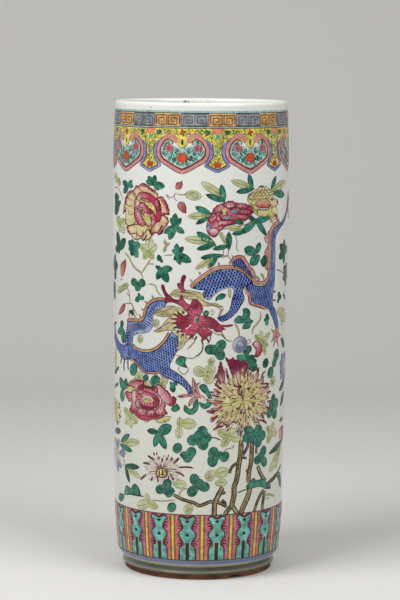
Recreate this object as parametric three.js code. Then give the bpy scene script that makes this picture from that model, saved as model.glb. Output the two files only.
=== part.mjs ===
// A tall porcelain vase of cylindrical form, thrown in three wall sections that are luted together
// with slip on a turned collar and foot. Millimetres, +Z up, the origin under the centre of the foot.

import * as THREE from "three";

// Driving dimensions of the wall: its outside swells from the collar to the belly and draws in to the lip

const wallThickness = 8;
const skirtRadius = 110; // outside, where the curve over the collar ends
const skirtHeight = 57.5; // of that place above the collar
const skirtTuck = 4; // how far the wall draws in below that place
const bellySwell = 4.5; // how far the widest place stands out over it
const bellyDrop = 119; // of the widest place below the lip
const neckTuck = 2.1; // how far the wall draws in again from the widest place to the lip
const swellPower = 1.6; // 1 is a straight taper, more is a fuller swell
const lowerWallHeight = 186;
const middleWallHeight = 192;
const upperWallHeight = 192.5;

// Driving dimensions of the foot ring, which stands on the table and is left unglazed

const footRingHeight = 6.5;
const footRingInset = 10; // from the outside of the wall's lower edge to the outside of the ring
const footRingWidth = 13; // from its outside to the hollow under the floor
const footRingBevel = 0.8; // turned off the edge that meets the table

// Driving dimensions of the collar, the turned moulding between the foot ring and the wall

const collarHeight = 20;
const beadHeight = 5; // the half-round bead just above the foot ring
const beadProud = 3.6; // how far the bead stands out over the foot ring
const grooveDepth = 2.4; // how far the groove lies inside the bead's crest
const grooveHeight = 3.5;
const collarWall = 5.2; // left between the groove and the seat of the floor
const shoulderBulge = 1.6; // how full the curve from the groove to the wall is
const ledgeWidth = 8.5; // what carries the floor, inside the collar
const ledgeHeight = 6; // from the top of the foot ring to the floor's underside

// Driving dimensions of the floor, a slab that sits on the collar's ledge

const floorThickness = 9;
const floorBevel = 1;
const seatClearance = 0.3;

// Driving dimensions of a lute, the slip that joins two wall sections and squeezes out inside

const luteThickness = 1;
const luteBeadHeight = 9;
const luteBeadProud = 1.6;
const luteGap = 0.3; // between the squeezed-out bead and the wall beside it

// Driving dimensions of the lip, whose top is rounded more on the outside than on the inside

const lipHeight = 11;
const lipCrownInset = 5.2; // from the outside of the lip to its highest line
const lipCrownRise = 5.5; // of that line above the outer edge of the rounding

// Fineness of the turned shapes

const facetsAround = 72;
const arcSteps = 5;
const wallStep = 50; // the tallest straight stretch of a wall's outline

// Heights above the table, each piece standing on the one below it

const collarBottom = footRingHeight;
const collarTop = collarBottom + collarHeight;
const floorBottom = collarBottom + ledgeHeight;
const floorTop = floorBottom + floorThickness;
const lowerWallTop = collarTop + lowerWallHeight;
const middleWallBottom = lowerWallTop + luteThickness;
const middleWallTop = middleWallBottom + middleWallHeight;
const upperWallBottom = middleWallTop + luteThickness;
const upperWallTop = upperWallBottom + upperWallHeight;
const lipTop = upperWallTop + lipHeight;

// Radii that follow from the driving ones

const wallBaseRadius = skirtRadius - skirtTuck;
const bellyRadius = skirtRadius + bellySwell;
const neckRadius = bellyRadius - neckTuck;
const footRingRadius = wallBaseRadius - footRingInset;
const beadRadius = footRingRadius + beadProud;
const grooveRadius = beadRadius - grooveDepth;
const floorSeatRadius = grooveRadius - collarWall;
const floorRadius = floorSeatRadius - seatClearance;
const ledgeRadius = floorSeatRadius - ledgeWidth;

// The wall's outside radius at a height: a quadratic curve over the collar, a swell to the belly,
// and a quadratic curve in to the neck.
function wallRadius(z) {
  const skirtTop = collarTop + skirtHeight;
  const belly = upperWallTop - bellyDrop;
  if (z < skirtTop) {
    const down = (skirtTop - z) / skirtHeight;
    return skirtRadius - (skirtRadius - wallBaseRadius) * down ** 2;
  }
  if (z < belly) {
    const down = (belly - z) / (belly - skirtTop);
    return bellyRadius - (bellyRadius - skirtRadius) * down ** swellPower;
  }
  const up = (z - belly) / bellyDrop;
  return bellyRadius - (bellyRadius - neckRadius) * up ** 2;
}

// Points of a quarter of an ellipse about (r, z), from one angle in degrees to another.
function arc(r, z, halfWidth, halfHeight, fromDegrees, toDegrees) {
  const points = [];
  for (let i = 0; i <= arcSteps; i++) {
    const a = THREE.MathUtils.degToRad(fromDegrees + ((toDegrees - fromDegrees) * i) / arcSteps);
    points.push([r + halfWidth * Math.cos(a), z + halfHeight * Math.sin(a)]);
  }
  return points;
}

// Turns an outline of [radius, height] pairs, drawn outside first and upwards, about the vase's axis.
function turned(name, outline, material) {
  const closed = [...outline, outline[0]].map(([r, z]) => new THREE.Vector2(r, z));
  const mesh = new THREE.Mesh(new THREE.LatheGeometry(closed, facetsAround), material);
  mesh.name = name;
  return mesh;
}

const glaze = () => new THREE.MeshStandardMaterial({ color: "#e6e9e2", roughness: 0.12, metalness: 0 });
const biscuit = () => new THREE.MeshStandardMaterial({ color: "#8c6a4b", roughness: 0.9, metalness: 0 });
const slip = () => new THREE.MeshStandardMaterial({ color: "#d9d6cb", roughness: 0.4, metalness: 0 });

function footRing() {
  const inside = footRingRadius - footRingWidth;
  return turned(
    "foot_ring",
    [
      [inside + footRingBevel, 0],
      [footRingRadius - footRingBevel, 0],
      [footRingRadius, footRingBevel],
      [footRingRadius, footRingHeight],
      [inside, footRingHeight],
      [inside, footRingBevel],
    ],
    biscuit(),
  );
}

function footCollar() {
  const beadCentre = collarBottom + beadHeight / 2;
  const grooveBottom = collarBottom + beadHeight;
  const grooveTop = grooveBottom + grooveHeight;
  const shoulder = [];
  for (let i = 0; i <= arcSteps; i++) {
    const t = i / arcSteps;
    const straight = THREE.MathUtils.lerp(grooveRadius, wallBaseRadius, t);
    shoulder.push([
      straight + shoulderBulge * Math.sin(Math.PI * t),
      THREE.MathUtils.lerp(grooveTop, collarTop, t),
    ]);
  }
  return turned(
    "foot_collar",
    [
      [ledgeRadius, collarBottom],
      ...arc(footRingRadius, beadCentre, beadProud, beadHeight / 2, -90, 90),
      [grooveRadius, grooveBottom],
      ...shoulder,
      [wallBaseRadius - wallThickness, collarTop],
      [floorSeatRadius, floorTop],
      [floorSeatRadius, floorBottom],
      [ledgeRadius, floorBottom],
    ],
    glaze(),
  );
}

function baseFloor() {
  const outline = [
    [0, floorBottom],
    [floorRadius, floorBottom],
    [floorRadius, floorTop - floorBevel],
    [floorRadius - floorBevel, floorTop],
    [0, floorTop],
  ];
  return turned("base_floor", outline, glaze());
}

function wallSection(name, bottom, top) {
  const steps = Math.ceil((top - bottom) / wallStep);
  const heights = [];
  for (let i = 0; i <= steps; i++) heights.push(THREE.MathUtils.lerp(bottom, top, i / steps));
  const outside = heights.map((z) => [wallRadius(z), z]);
  const inside = heights.map((z) => [wallRadius(z) - wallThickness, z]).reverse();
  return turned(name, [...outside, ...inside], glaze());
}

// The washer of slip between two sections, with the bead that it forms on the inside of the wall.
function lute(name, bottom) {
  const top = bottom + luteThickness;
  const outside = wallRadius(bottom);
  const wallInside = outside - wallThickness;
  const beadOutside = wallInside - luteGap;
  const beadInside = beadOutside - luteBeadProud;
  const middle = (bottom + top) / 2;
  const beadHalf = luteBeadHeight / 2;
  return turned(
    name,
    [
      [wallInside, bottom],
      [outside, bottom],
      [outside, top],
      [wallInside, top],
      [beadOutside, top],
      [beadOutside, middle + beadHalf],
      [beadInside, middle + beadHalf / 2],
      [beadInside, middle - beadHalf / 2],
      [beadOutside, middle - beadHalf],
      [beadOutside, bottom],
    ],
    slip(),
  );
}

function rimLip() {
  const inside = neckRadius - wallThickness;
  const inset = Math.min(lipCrownInset, wallThickness * 0.8);
  const rise = Math.min(lipCrownRise, lipHeight * 0.8);
  const crownRadius = neckRadius - inset;
  return turned(
    "rim_lip",
    [
      [inside, upperWallTop],
      [neckRadius, upperWallTop],
      ...arc(crownRadius, lipTop - rise, inset, rise, 0, 90),
      ...arc(crownRadius, lipTop - rise, wallThickness - inset, rise, 90, 180).slice(1),
    ],
    glaze(),
  );
}

const vase = new THREE.Group();
vase.rotation.x = Math.PI / 2; // the lathe turns about +Y, and the vase stands along +Z
vase.add(
  footRing(),
  footCollar(),
  baseFloor(),
  wallSection("lower_wall", collarTop, lowerWallTop),
  lute("lower_lute", lowerWallTop),
  wallSection("middle_wall", middleWallBottom, middleWallTop),
  lute("upper_lute", middleWallTop),
  wallSection("upper_wall", upperWallBottom, upperWallTop),
  rimLip(),
);

export default vase;
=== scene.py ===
import math

import bpy
import numpy as np
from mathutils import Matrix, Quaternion, Vector, geometry


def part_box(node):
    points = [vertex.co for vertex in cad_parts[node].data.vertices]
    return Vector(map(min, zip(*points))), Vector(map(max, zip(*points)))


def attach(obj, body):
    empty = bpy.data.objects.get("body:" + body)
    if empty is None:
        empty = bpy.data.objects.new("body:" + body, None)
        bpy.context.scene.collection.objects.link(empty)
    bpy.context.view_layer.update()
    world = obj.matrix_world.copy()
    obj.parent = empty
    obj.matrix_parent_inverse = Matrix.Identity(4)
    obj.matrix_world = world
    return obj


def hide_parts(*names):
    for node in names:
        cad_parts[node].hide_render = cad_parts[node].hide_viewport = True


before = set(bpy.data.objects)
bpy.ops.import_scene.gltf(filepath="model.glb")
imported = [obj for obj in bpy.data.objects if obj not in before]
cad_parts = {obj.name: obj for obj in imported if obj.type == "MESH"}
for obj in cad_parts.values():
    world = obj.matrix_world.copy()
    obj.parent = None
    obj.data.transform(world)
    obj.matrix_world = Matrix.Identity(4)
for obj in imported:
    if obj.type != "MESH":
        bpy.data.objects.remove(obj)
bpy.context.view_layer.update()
MM = 0.001


# Foot ring: the bottom edge of the thrown vase, wiped free of glaze so that it doesn't stick to the
# kiln shelf. The bare clay has fired brown; it is stained, and a chip is broken out of it in front.


def node_tree(name, kind, inputs, output):
    """An empty node group with named sockets: the group, what it is given and what it has to make."""
    tree = bpy.data.node_groups.new(name, kind)
    for side, sockets in (("INPUT", inputs), ("OUTPUT", [output])):
        for socket_name, socket_type, *default in sockets:
            socket = tree.interface.new_socket(
                socket_name, in_out=side, socket_type="NodeSocket" + socket_type)
            if default:
                socket.default_value = default[0]
    given = tree.nodes.new("NodeGroupInput").outputs
    return tree, given, tree.nodes.new("NodeGroupOutput").inputs[0]


def feed(tree, socket, value):
    """Links a socket to another one, or sets it to a plain value."""
    if isinstance(value, bpy.types.NodeSocket):
        tree.links.new(value, socket)
    else:
        socket.default_value = value


def wired(tree, kind, inputs=(), **settings):
    """Adds a node to a tree. Its inputs are given in order, or by name, as sockets or plain values."""
    node = tree.nodes.new(kind)
    for key, value in settings.items():
        setattr(node, key, value)
    pairs = inputs.items() if isinstance(inputs, dict) else enumerate(inputs)
    for key, value in pairs:
        feed(tree, node.inputs[key], value)
    return node


def result(tree, operation, *inputs):
    """What a math node makes of its inputs."""
    return wired(tree, "ShaderNodeMath", inputs, operation=operation).outputs[0]


def turning_tree():
    """Turns an outline of points, x from the axis and z up, about the axis: the potter's wheel."""
    tree, given, made = node_tree(
        "turned_on_the_wheel", "GeometryNodeTree",
        [("Outline", "Geometry"), ("Outline Points", "Int", 2), ("Facets", "Int", 384),
         ("Material", "Material")], ("Turned", "Geometry"))
    rows = result(tree, "ADD", given["Facets"], 1.0)
    grid = wired(tree, "GeometryNodeMeshGrid", (1.0, 1.0, rows, given["Outline Points"]))
    index = wired(tree, "GeometryNodeInputIndex").outputs[0]
    turn = result(tree, "FLOOR", result(tree, "DIVIDE", index, given["Outline Points"]))
    point = result(tree, "MODULO", index, given["Outline Points"])
    place = wired(tree, "GeometryNodeInputPosition").outputs[0]
    on_outline = wired(tree, "GeometryNodeSampleIndex", {
        "Geometry": given["Outline"], "Value": place, "Index": point}, data_type="FLOAT_VECTOR")
    xyz = wired(tree, "ShaderNodeSeparateXYZ", (on_outline.outputs[0],)).outputs
    angle = result(tree, "MULTIPLY", result(tree, "DIVIDE", turn, given["Facets"]), math.tau)
    x = result(tree, "MULTIPLY", xyz[0], result(tree, "COSINE", angle))
    y = result(tree, "MULTIPLY", xyz[0], result(tree, "SINE", angle))
    turned = wired(tree, "ShaderNodeCombineXYZ", (x, y, xyz[2])).outputs[0]
    moved = wired(tree, "GeometryNodeSetPosition", {"Geometry": grid.outputs[0], "Position": turned})
    closed = wired(tree, "GeometryNodeMergeByDistance", {"Geometry": moved.outputs[0], "Distance": 1e-7})
    whole = wired(tree, "GeometryNodeRealizeInstances", (closed.outputs[0],))
    painted = wired(tree, "GeometryNodeSetMaterial",
                    {"Geometry": whole.outputs[0], "Material": given["Material"]})
    feed(tree, made, painted.outputs[0])
    return tree


TURNING = turning_tree()
TURNED_CREASE = 40  # degrees


def new_piece(name, verts, edges, faces):
    """An object with a mesh of these vertices, in millimetres, in the scene."""
    mesh = bpy.data.meshes.new(name)
    mesh.from_pydata([tuple(c * MM for c in v) for v in verts], edges, faces)
    piece = bpy.data.objects.new(name, mesh)
    bpy.context.scene.collection.objects.link(piece)
    return piece


def run_tree(piece, tree, inputs):
    """Adds a modifier that runs a tree, and sets its inputs by the identifiers of their named sockets."""
    modifier = piece.modifiers.new(tree.name, "NODES")
    modifier.node_group = tree
    for item in tree.interface.items_tree:
        if item.in_out == "INPUT" and item.name in inputs:
            modifier[item.identifier] = inputs[item.name]


def settle(piece, crease_degrees):
    graph = bpy.context.evaluated_depsgraph_get()
    piece.data = bpy.data.meshes.new_from_object(
        piece.evaluated_get(graph), preserve_all_data_layers=True, depsgraph=graph)
    piece.modifiers.clear()
    piece.data.polygons.foreach_set("use_smooth", [True] * len(piece.data.polygons))
    piece.data.set_sharp_from_angle(angle=math.radians(crease_degrees))
    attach(piece, "root")


def turned_piece(name, outline, material, slot, *nodes):
    """A closed piece turned from an outline of (radius, height) in millimetres, outside first and up.
    nodes are the CAD nodes that it stands for."""
    ring = [(r, 0, z) for r, z in (*outline, outline[0])]
    piece = new_piece(name, ring, [(i, i + 1) for i in range(len(ring) - 1)], [])
    run_tree(piece, TURNING, {"Outline Points": len(ring), "Material": material})
    settle(piece, TURNED_CREASE)
    if nodes:
        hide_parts(*nodes)
    return piece


def srgb(*colour):
    """A colour as a screen shows it, 0 to 255, as Blender's linear values."""
    return (*(((c / 255 + 0.055) / 1.055) ** 2.4 if c > 10 else c / 3294 for c in colour), 1.0)


def ramp(tree, value, start, end, top=1.0, **settings):
    """Goes from 0 to top while a value goes from start to end."""
    return wired(tree, "ShaderNodeMapRange", (value, start, end, 0.0, top), **settings).outputs[0]


def cloud_group():
    """Soft uneven tone, as fired clay and glaze have it: a mask about 0.5."""
    tree, given, made = node_tree(
        "fired_clouds", "ShaderNodeTree",
        [("Place", "Vector"), ("Size", "Float", 20.0), ("Contrast", "Float", 1.0)], ("Mask", "Float"))
    noise = wired(tree, "ShaderNodeTexNoise", {
        "Vector": given["Place"], "Scale": given["Size"], "Detail": 4.0, "Roughness": 0.6})
    away = result(tree, "SUBTRACT", noise.outputs["Fac"], 0.5)
    wide = result(tree, "MULTIPLY_ADD", away, given["Contrast"], 0.5)
    feed(tree, made, wired(tree, "ShaderNodeClamp", (wide,)).outputs[0])
    return tree


def speck_group():
    """Small round specks scattered over a surface: iron spots, kiln dirt and pinholes."""
    tree, given, made = node_tree(
        "kiln_specks", "ShaderNodeTree",
        [("Place", "Vector"), ("Spread", "Float", 60.0), ("Largest", "Float", 0.12),
         ("Share", "Float", 0.2)], ("Mask", "Float"))
    cells = wired(tree, "ShaderNodeTexVoronoi", {"Vector": given["Place"], "Scale": given["Spread"]})
    lot = wired(tree, "ShaderNodeSeparateColor", (cells.outputs["Color"],)).outputs
    kept = result(tree, "LESS_THAN", lot[0], given["Share"])
    size = result(tree, "MULTIPLY", given["Largest"], lot[1])
    spot = ramp(tree, cells.outputs["Distance"], size, result(tree, "MULTIPLY", size, 0.5))
    feed(tree, made, result(tree, "MULTIPLY", spot, kept))
    return tree


CLOUDS = cloud_group()
SPECKS = speck_group()


def blank_material(name):
    """A new material, its tree, its shader, and the place of the point that it colours."""
    material = bpy.data.materials.new(name)
    material.use_nodes = True
    tree = material.node_tree
    place = wired(tree, "ShaderNodeTexCoord").outputs["Object"]
    return material, tree, tree.nodes["Principled BSDF"], place


def effect(tree, group, **inputs):
    """A shared effect in a material. An underscore in an input's name stands for a space."""
    named = {key.replace("_", " "): value for key, value in inputs.items()}
    return wired(tree, "ShaderNodeGroup", named, node_tree=group).outputs[0]


def blended(tree, mask, low, high, share=1.0):
    """Mixes two colours by a share of a mask."""
    if share < 1:
        mask = result(tree, "MULTIPLY", mask, share)
    return wired(tree, "ShaderNodeMix", {0: mask, 6: low, 7: high}, data_type="RGBA").outputs[2]


def surface(tree, shader, colour, roughness, relief, strength, depth):
    """Gives a shader its colour, its roughness, and a fine relief of this depth in metres."""
    feed(tree, shader.inputs["Base Color"], colour)
    feed(tree, shader.inputs["Roughness"], roughness)
    bump = wired(tree, "ShaderNodeBump", {"Strength": strength, "Distance": depth, "Height": relief})
    feed(tree, shader.inputs["Normal"], bump.outputs[0])


def biscuit_material():
    material, tree, shader, place = blank_material("brown_biscuit")
    clouds = effect(tree, CLOUDS, Place=place, Size=34.0, Contrast=2.6)
    grit = effect(tree, CLOUDS, Place=place, Size=900.0, Contrast=1.6)
    dirt = effect(tree, SPECKS, Place=place, Spread=260.0, Largest=0.5, Share=0.3)
    clay = blended(tree, clouds, srgb(56, 36, 25), srgb(146, 90, 54))
    clay = blended(tree, grit, clay, srgb(80, 58, 42), share=0.5)
    clay = blended(tree, dirt, clay, srgb(34, 24, 18), share=0.7)
    surface(tree, shader, clay, 0.86, grit, strength=0.5, depth=0.0004)
    return material


def least_radius(node):
    """The radius of a turned CAD node's bore, in millimetres."""
    return min(math.hypot(v.co.x, v.co.y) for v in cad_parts[node].data.vertices) / MM


RING_EDGE = 0.8  # turned off the edges that meet the table
RING_SOFT_IN, RING_SOFT_UP = 0.2, 0.25  # a point between, that rounds the outer one
CHIP_RING = 3.2  # the height of the ring of vertices over it, which the chip also draws in
CHIP_TURN = 30.5  # degrees to the right of the front
CHIP_HALF = 5.5  # degrees
CHIP_DEPTH = 6.0
CHIP_REACH = 2.0  # how far from the ring's lower edge it breaks in fully
CHIP_TOP = 4.0
CHIP_UPPER_SHARE = 0.45  # of the depth, over that
CHIP_RISE = 0.35  # how far the broken edge lies higher, for each millimetre that it is broken in
ring_bore = least_radius("foot_ring")
_, ring_high = (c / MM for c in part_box("foot_ring"))
foot_ring = turned_piece("foot_ring_biscuit", [
    (ring_bore + RING_EDGE, 0.0), (ring_high.x - RING_EDGE, 0.0), (ring_high.x - RING_SOFT_IN, RING_SOFT_UP),
    (ring_high.x, RING_EDGE), (ring_high.x, CHIP_RING), (ring_high.x, ring_high.z),
    (ring_bore, ring_high.z), (ring_bore, RING_EDGE)], biscuit_material(), "biscuit", "foot_ring")
for v in foot_ring.data.vertices:
    off = abs(math.degrees(math.atan2(v.co.x, -v.co.y)) - CHIP_TURN) / CHIP_HALF
    outer = math.hypot(v.co.x, v.co.y) > (ring_high.x - CHIP_REACH) * MM
    if off < 1 and outer and v.co.z < CHIP_TOP * MM:
        lower = v.co.z < CHIP_REACH * MM
        broken = CHIP_DEPTH * (1 - off ** 2) * (1 if lower else CHIP_UPPER_SHARE)
        share = 1 - broken / ring_high.x
        v.co.x, v.co.y = v.co.x * share, v.co.y * share
        v.co.z += CHIP_RISE * broken * MM * lower

# Glazed body: the collar, the floor, three thrown wall sections with their lutes, and the lip. All are
# white porcelain under one clear, faintly grey-green glaze, with pinholes, iron spots and a slight skin.

ENAMEL_ROOM = 0.55  # millimetres that the glaze lies inside the solids, which the enamel then fills
WALLS = ("lower_wall", "middle_wall", "upper_wall")
LUTE_SPAN = 2.0  # rings closer than this lie above and below a lute, and share one slope


def outside_rings(node):
    """(height, outside radius) of each ring of vertices of a turned CAD node, in millimetres, upwards."""
    rings = {}
    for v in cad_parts[node].data.vertices:
        height = round(v.co.z / MM, 2)
        rings[height] = max(rings.get(height, 0.0), math.hypot(v.co.x, v.co.y) / MM)
    return sorted(rings.items())


ring_heights, ring_radii = np.array([ring for node in WALLS for ring in outside_rings(node)]).T
ring_slopes = np.gradient(ring_radii, ring_heights)
for start in np.flatnonzero(np.diff(ring_heights) < LUTE_SPAN):
    rise = ring_radii[start + 2] - ring_radii[start - 1]
    ring_slopes[[start, start + 1]] = rise / (ring_heights[start + 2] - ring_heights[start - 1])


def eased(low, rise_low, high, rise_high, t):
    """A place on the cubic curve between two values that has these slopes at its ends."""
    return (low * (1 + 2 * t) * (1 - t) ** 2 + rise_low * t * (1 - t) ** 2
            + high * t * t * (3 - 2 * t) + rise_high * t * t * (t - 1))


def wall_radius(height):
    """The glaze's radius at a height, on a smooth curve through the rings of the CAD walls."""
    i = int(np.clip(np.searchsorted(ring_heights, height) - 1, 0, len(ring_heights) - 2))
    span = ring_heights[i + 1] - ring_heights[i]
    rise_low, rise_high = ring_slopes[i] * span, ring_slopes[i + 1] * span
    t = (height - ring_heights[i]) / span
    return eased(ring_radii[i], rise_low, ring_radii[i + 1], rise_high, t) - ENAMEL_ROOM


FADE_START, FADE_END = 0.25, 0.55  # millimetres over which the edge of each band round the piece fades
SHADE_TOP, SHADE_FOOT = 500, 60  # the heights between which painted shade darkens the glaze towards the foot


def glaze_material(name, bands_and_shade=(), stains=()):
    """White glaze, with painted shade that darkens and warms it towards the foot, where the light falls off.
    Bands round the piece are given as (lowest, highest, colour), by height; some are painted lines, some
    painted shade and painted highlight. stains are (x, y, z, radius) of brown marks in it."""
    material, tree, shader, place = blank_material(name)
    clouds = effect(tree, CLOUDS, Place=place, Size=14.0, Contrast=1.5)
    skin = effect(tree, CLOUDS, Place=place, Size=110.0, Contrast=1.0)
    specks = effect(tree, SPECKS, Place=place, Spread=75.0, Largest=0.07, Share=0.16)
    blots = effect(tree, SPECKS, Place=place, Spread=24.0, Largest=0.09, Share=0.1)
    white = blended(tree, clouds, srgb(226, 228, 222), srgb(238, 238, 233))
    white = blended(tree, skin, white, srgb(229, 231, 222), share=0.35)
    height = wired(tree, "ShaderNodeSeparateXYZ", (place,)).outputs[2]
    # Painted shade: the glaze turns darker and warmer towards the foot, where the light falls off.
    painted_foot_shade = ramp(tree, height, SHADE_TOP * MM, SHADE_FOOT * MM)
    white = blended(tree, painted_foot_shade, white, srgb(215, 216, 203))
    waver = result(tree, "MULTIPLY_ADD", skin, 0.5 * MM, height)
    # Bands of colour by height: painted lines, and painted shade and painted highlight.
    for low, high, colour in bands_and_shade:
        above = ramp(tree, waver, (low + FADE_START) * MM, (low + FADE_END) * MM)
        below = ramp(tree, waver, (high + FADE_END) * MM, (high + FADE_START) * MM)
        band_mask = result(tree, "MULTIPLY", result(tree, "MULTIPLY", above, below),
                      result(tree, "MULTIPLY_ADD", clouds, 0.25, 0.75))
        white = blended(tree, band_mask, white, colour)
    for x, y, z, radius in stains:
        away = wired(tree, "ShaderNodeVectorMath", (place, (x * MM, y * MM, z * MM)), operation="DISTANCE")
        uneven = result(tree, "MULTIPLY_ADD", result(tree, "SUBTRACT", skin, 0.5), 3 * MM,
                        away.outputs["Value"])
        stain = ramp(tree, uneven, radius * MM, radius * 0.3 * MM)
        white = blended(tree, stain, white, srgb(96, 84, 58), share=0.85)
    white = blended(tree, specks, white, srgb(92, 78, 60), share=0.75)
    white = blended(tree, blots, white, srgb(150, 140, 112), share=0.3)
    roughness = result(tree, "MULTIPLY_ADD", skin, 0.12, 0.1)
    surface(tree, shader, white, roughness, skin, strength=0.35, depth=0.0006)
    return material


white_glaze = glaze_material("white_glaze")
wall_low, wall_high = ring_heights[0], ring_heights[-1]
wall_thickness = ring_radii[0] - least_radius("lower_wall")
WALL_STEP = 4.0


def wall_inside(height):
    return wall_radius(height) + ENAMEL_ROOM - wall_thickness


for wall in WALLS:
    low, high = (c.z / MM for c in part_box(wall))
    heights = np.linspace(low, high, max(2, round((high - low) / WALL_STEP) + 1))
    outside = [(wall_radius(z), z) for z in heights]
    inside = [(wall_inside(z), z) for z in heights[::-1]]
    turned_piece(wall + "_glazed", outside + inside, white_glaze, "glaze", wall)

# Bands round the collar, by height. Only the blue line is the vase's own colour; below it the glaze is
# darkened by painted shade, darkest in the groove and under the bead, with a painted highlight on the bead.
COLLAR_BANDS_AND_SHADE = (
    (20.8, 26.2, srgb(84, 98, 150)),  # a blue line on the shoulder
    # olive-grey under the blue line: partly a brownish stain, partly painted shade
    (16.6, 20.2, srgb(136, 134, 104)),
    (11.6, 16.6, srgb(26, 23, 20)),  # painted shade in the groove
    (9.4, 11.6, srgb(124, 124, 92)),  # painted highlight on the bead's top
    # dark brown on the bead's lower half: painted shade, and the brown of the glaze's edge
    (5.8, 9.4, srgb(34, 27, 20)),
)
BEAD_HALF = 2.5
BEAD_PROUD = 3.6
BEAD_ARC_STEP = 12  # degrees
GROOVE_DEPTH = 2.4
GROOVE_HEIGHT = 3.5
GROOVE_FOOT = ((0.5, -0.5), (0.1, 0.0), (0.0, 0.6))  # (off the groove, above its foot) of its rounding
GROOVE_TOP = ((0.0, -0.8), (0.12, 0.0))
SHOULDER_BULGE = 1.6
SHOULDER_STEPS = 16
SEAT_GAP = 0.3
LEDGE_WIDTH = 8.2
collar_low, collar_high = (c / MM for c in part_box("foot_collar"))
floor_low, floor_high = (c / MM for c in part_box("base_floor"))
collar_outline = [(floor_high.x - LEDGE_WIDTH, collar_low.z)]
for degrees in range(-90, 90 - BEAD_ARC_STEP, BEAD_ARC_STEP):
    a = math.radians(degrees)
    collar_outline.append((ring_high.x + BEAD_PROUD * math.cos(a),
                           collar_low.z + BEAD_HALF + BEAD_HALF * math.sin(a)))
groove = ring_high.x + BEAD_PROUD - GROOVE_DEPTH
groove_low = collar_low.z + 2 * BEAD_HALF
groove_high = groove_low + GROOVE_HEIGHT
collar_outline += [(groove + off, groove_low + up) for off, up in GROOVE_FOOT]
collar_outline += [(groove + off, groove_high + up) for off, up in GROOVE_TOP]
shoulder = wall_radius(wall_low) - groove
for i in range(1, SHOULDER_STEPS + 1):
    t = i / SHOULDER_STEPS
    collar_outline.append((groove + shoulder * t + SHOULDER_BULGE * math.sin(math.pi * t),
                           groove_high + (collar_high.z - groove_high) * t))
seat = floor_high.x + SEAT_GAP
collar_outline += [(wall_inside(wall_low), collar_high.z), (seat, floor_high.z), (seat, floor_low.z),
                   (floor_high.x - LEDGE_WIDTH, floor_low.z)]
turned_piece("foot_collar_glazed", collar_outline, glaze_material("collar_glaze", COLLAR_BANDS_AND_SHADE), "glaze",
             "foot_collar")

FLOOR_EDGE = 1.0
FLOOR_DISH = 0.6
floor_outline = [(0.0, floor_low.z), (floor_high.x, floor_low.z),
                 (floor_high.x, floor_high.z - FLOOR_EDGE), (floor_high.x - FLOOR_EDGE, floor_high.z)]
for t in (0.15, 0.35, 0.6, 0.8, 1.0):
    floor_outline.append((floor_high.x * (1 - t) - FLOOR_EDGE * (1 - t),
                          floor_high.z - FLOOR_DISH * math.sin(math.pi * t / 2)))
turned_piece("base_floor_glazed", floor_outline, white_glaze, "glaze", "base_floor")

LUTE_HALF = 0.5
LUTE_BEAD = 1.6
LUTE_GAP = 0.3
for lute in ("lower_lute", "upper_lute"):
    low, high = (c.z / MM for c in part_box(lute))
    middle, bead_half = (low + high) / 2, (high - low) / 2
    gap = wall_inside(middle) - LUTE_GAP
    bead = [(gap - LUTE_BEAD * math.cos(a), middle + bead_half * math.sin(a))
            for a in np.linspace(math.pi / 2, -math.pi / 2, 13)]
    turned_piece(lute + "_slip", [
        (wall_inside(middle), middle - LUTE_HALF), (wall_radius(middle), middle - LUTE_HALF),
        (wall_radius(middle), middle + LUTE_HALF), (wall_inside(middle), middle + LUTE_HALF),
        (gap, middle + LUTE_HALF), *bead, (gap, middle - LUTE_HALF)], white_glaze, "slip", lute)

LIP_INSET = 4.6
LIP_RISE = 4.8
LIP_STEPS = 33
LIP_STAINS = ((-21.6, 102, 605, 3.4), (-17.4, 103, 604.6, 2.4), (-10.2, 104, 604, 1.6), (8.6, 104, 604, 1.6),
              (-63.4, -92.3, 603, 1.7), (-36, 98, 604, 1.4))
lip_low, lip_high = (c.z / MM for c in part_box("rim_lip"))
lip_outside, lip_inside = wall_radius(wall_high), wall_inside(wall_high)
crown = lip_outside - LIP_INSET + ENAMEL_ROOM
lip_outline = [(lip_inside, lip_low), (lip_outside, lip_low)]
for a in np.linspace(0, math.pi, LIP_STEPS):
    half_width = lip_outside - crown if a < math.pi / 2 else crown - lip_inside
    lip_outline.append((crown + half_width * math.cos(a), lip_high - LIP_RISE + LIP_RISE * math.sin(a)))
turned_piece("rim_lip_glazed", lip_outline, glaze_material("lip_glaze", stains=LIP_STAINS), "glaze",
             "rim_lip")


# Painted bands: the enameller lays ground glass colours on the fired glaze and fires the vase again, so
# each stroke stands a few tenths of a millimetre proud. The fret band under the lip comes first.

NOMINAL_RADIUS = 113.0  # at which a length along the drawing is a length on the wall
AROUND = math.tau * NOMINAL_RADIUS
SUNK = 0.08  # how far each slab of enamel reaches into the glaze
STEP = 4.5  # the longest straight stretch of an outline, so that it follows the round wall
INSET = 0.9  # from a slab's outline to the row of points inside it
EDGE_WIDTH = 1.6  # over which a slab rises to its full thickness
TAPER = 0.25  # the share of a brush line over which it gets wider or narrower
LAID_CREASE = 50  # degrees


def scaled(tree, arrow, factor):
    """An arrow made longer by a factor."""
    return wired(tree, "ShaderNodeVectorMath", {0: arrow, "Scale": factor}, operation="SCALE").outputs[0]


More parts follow.
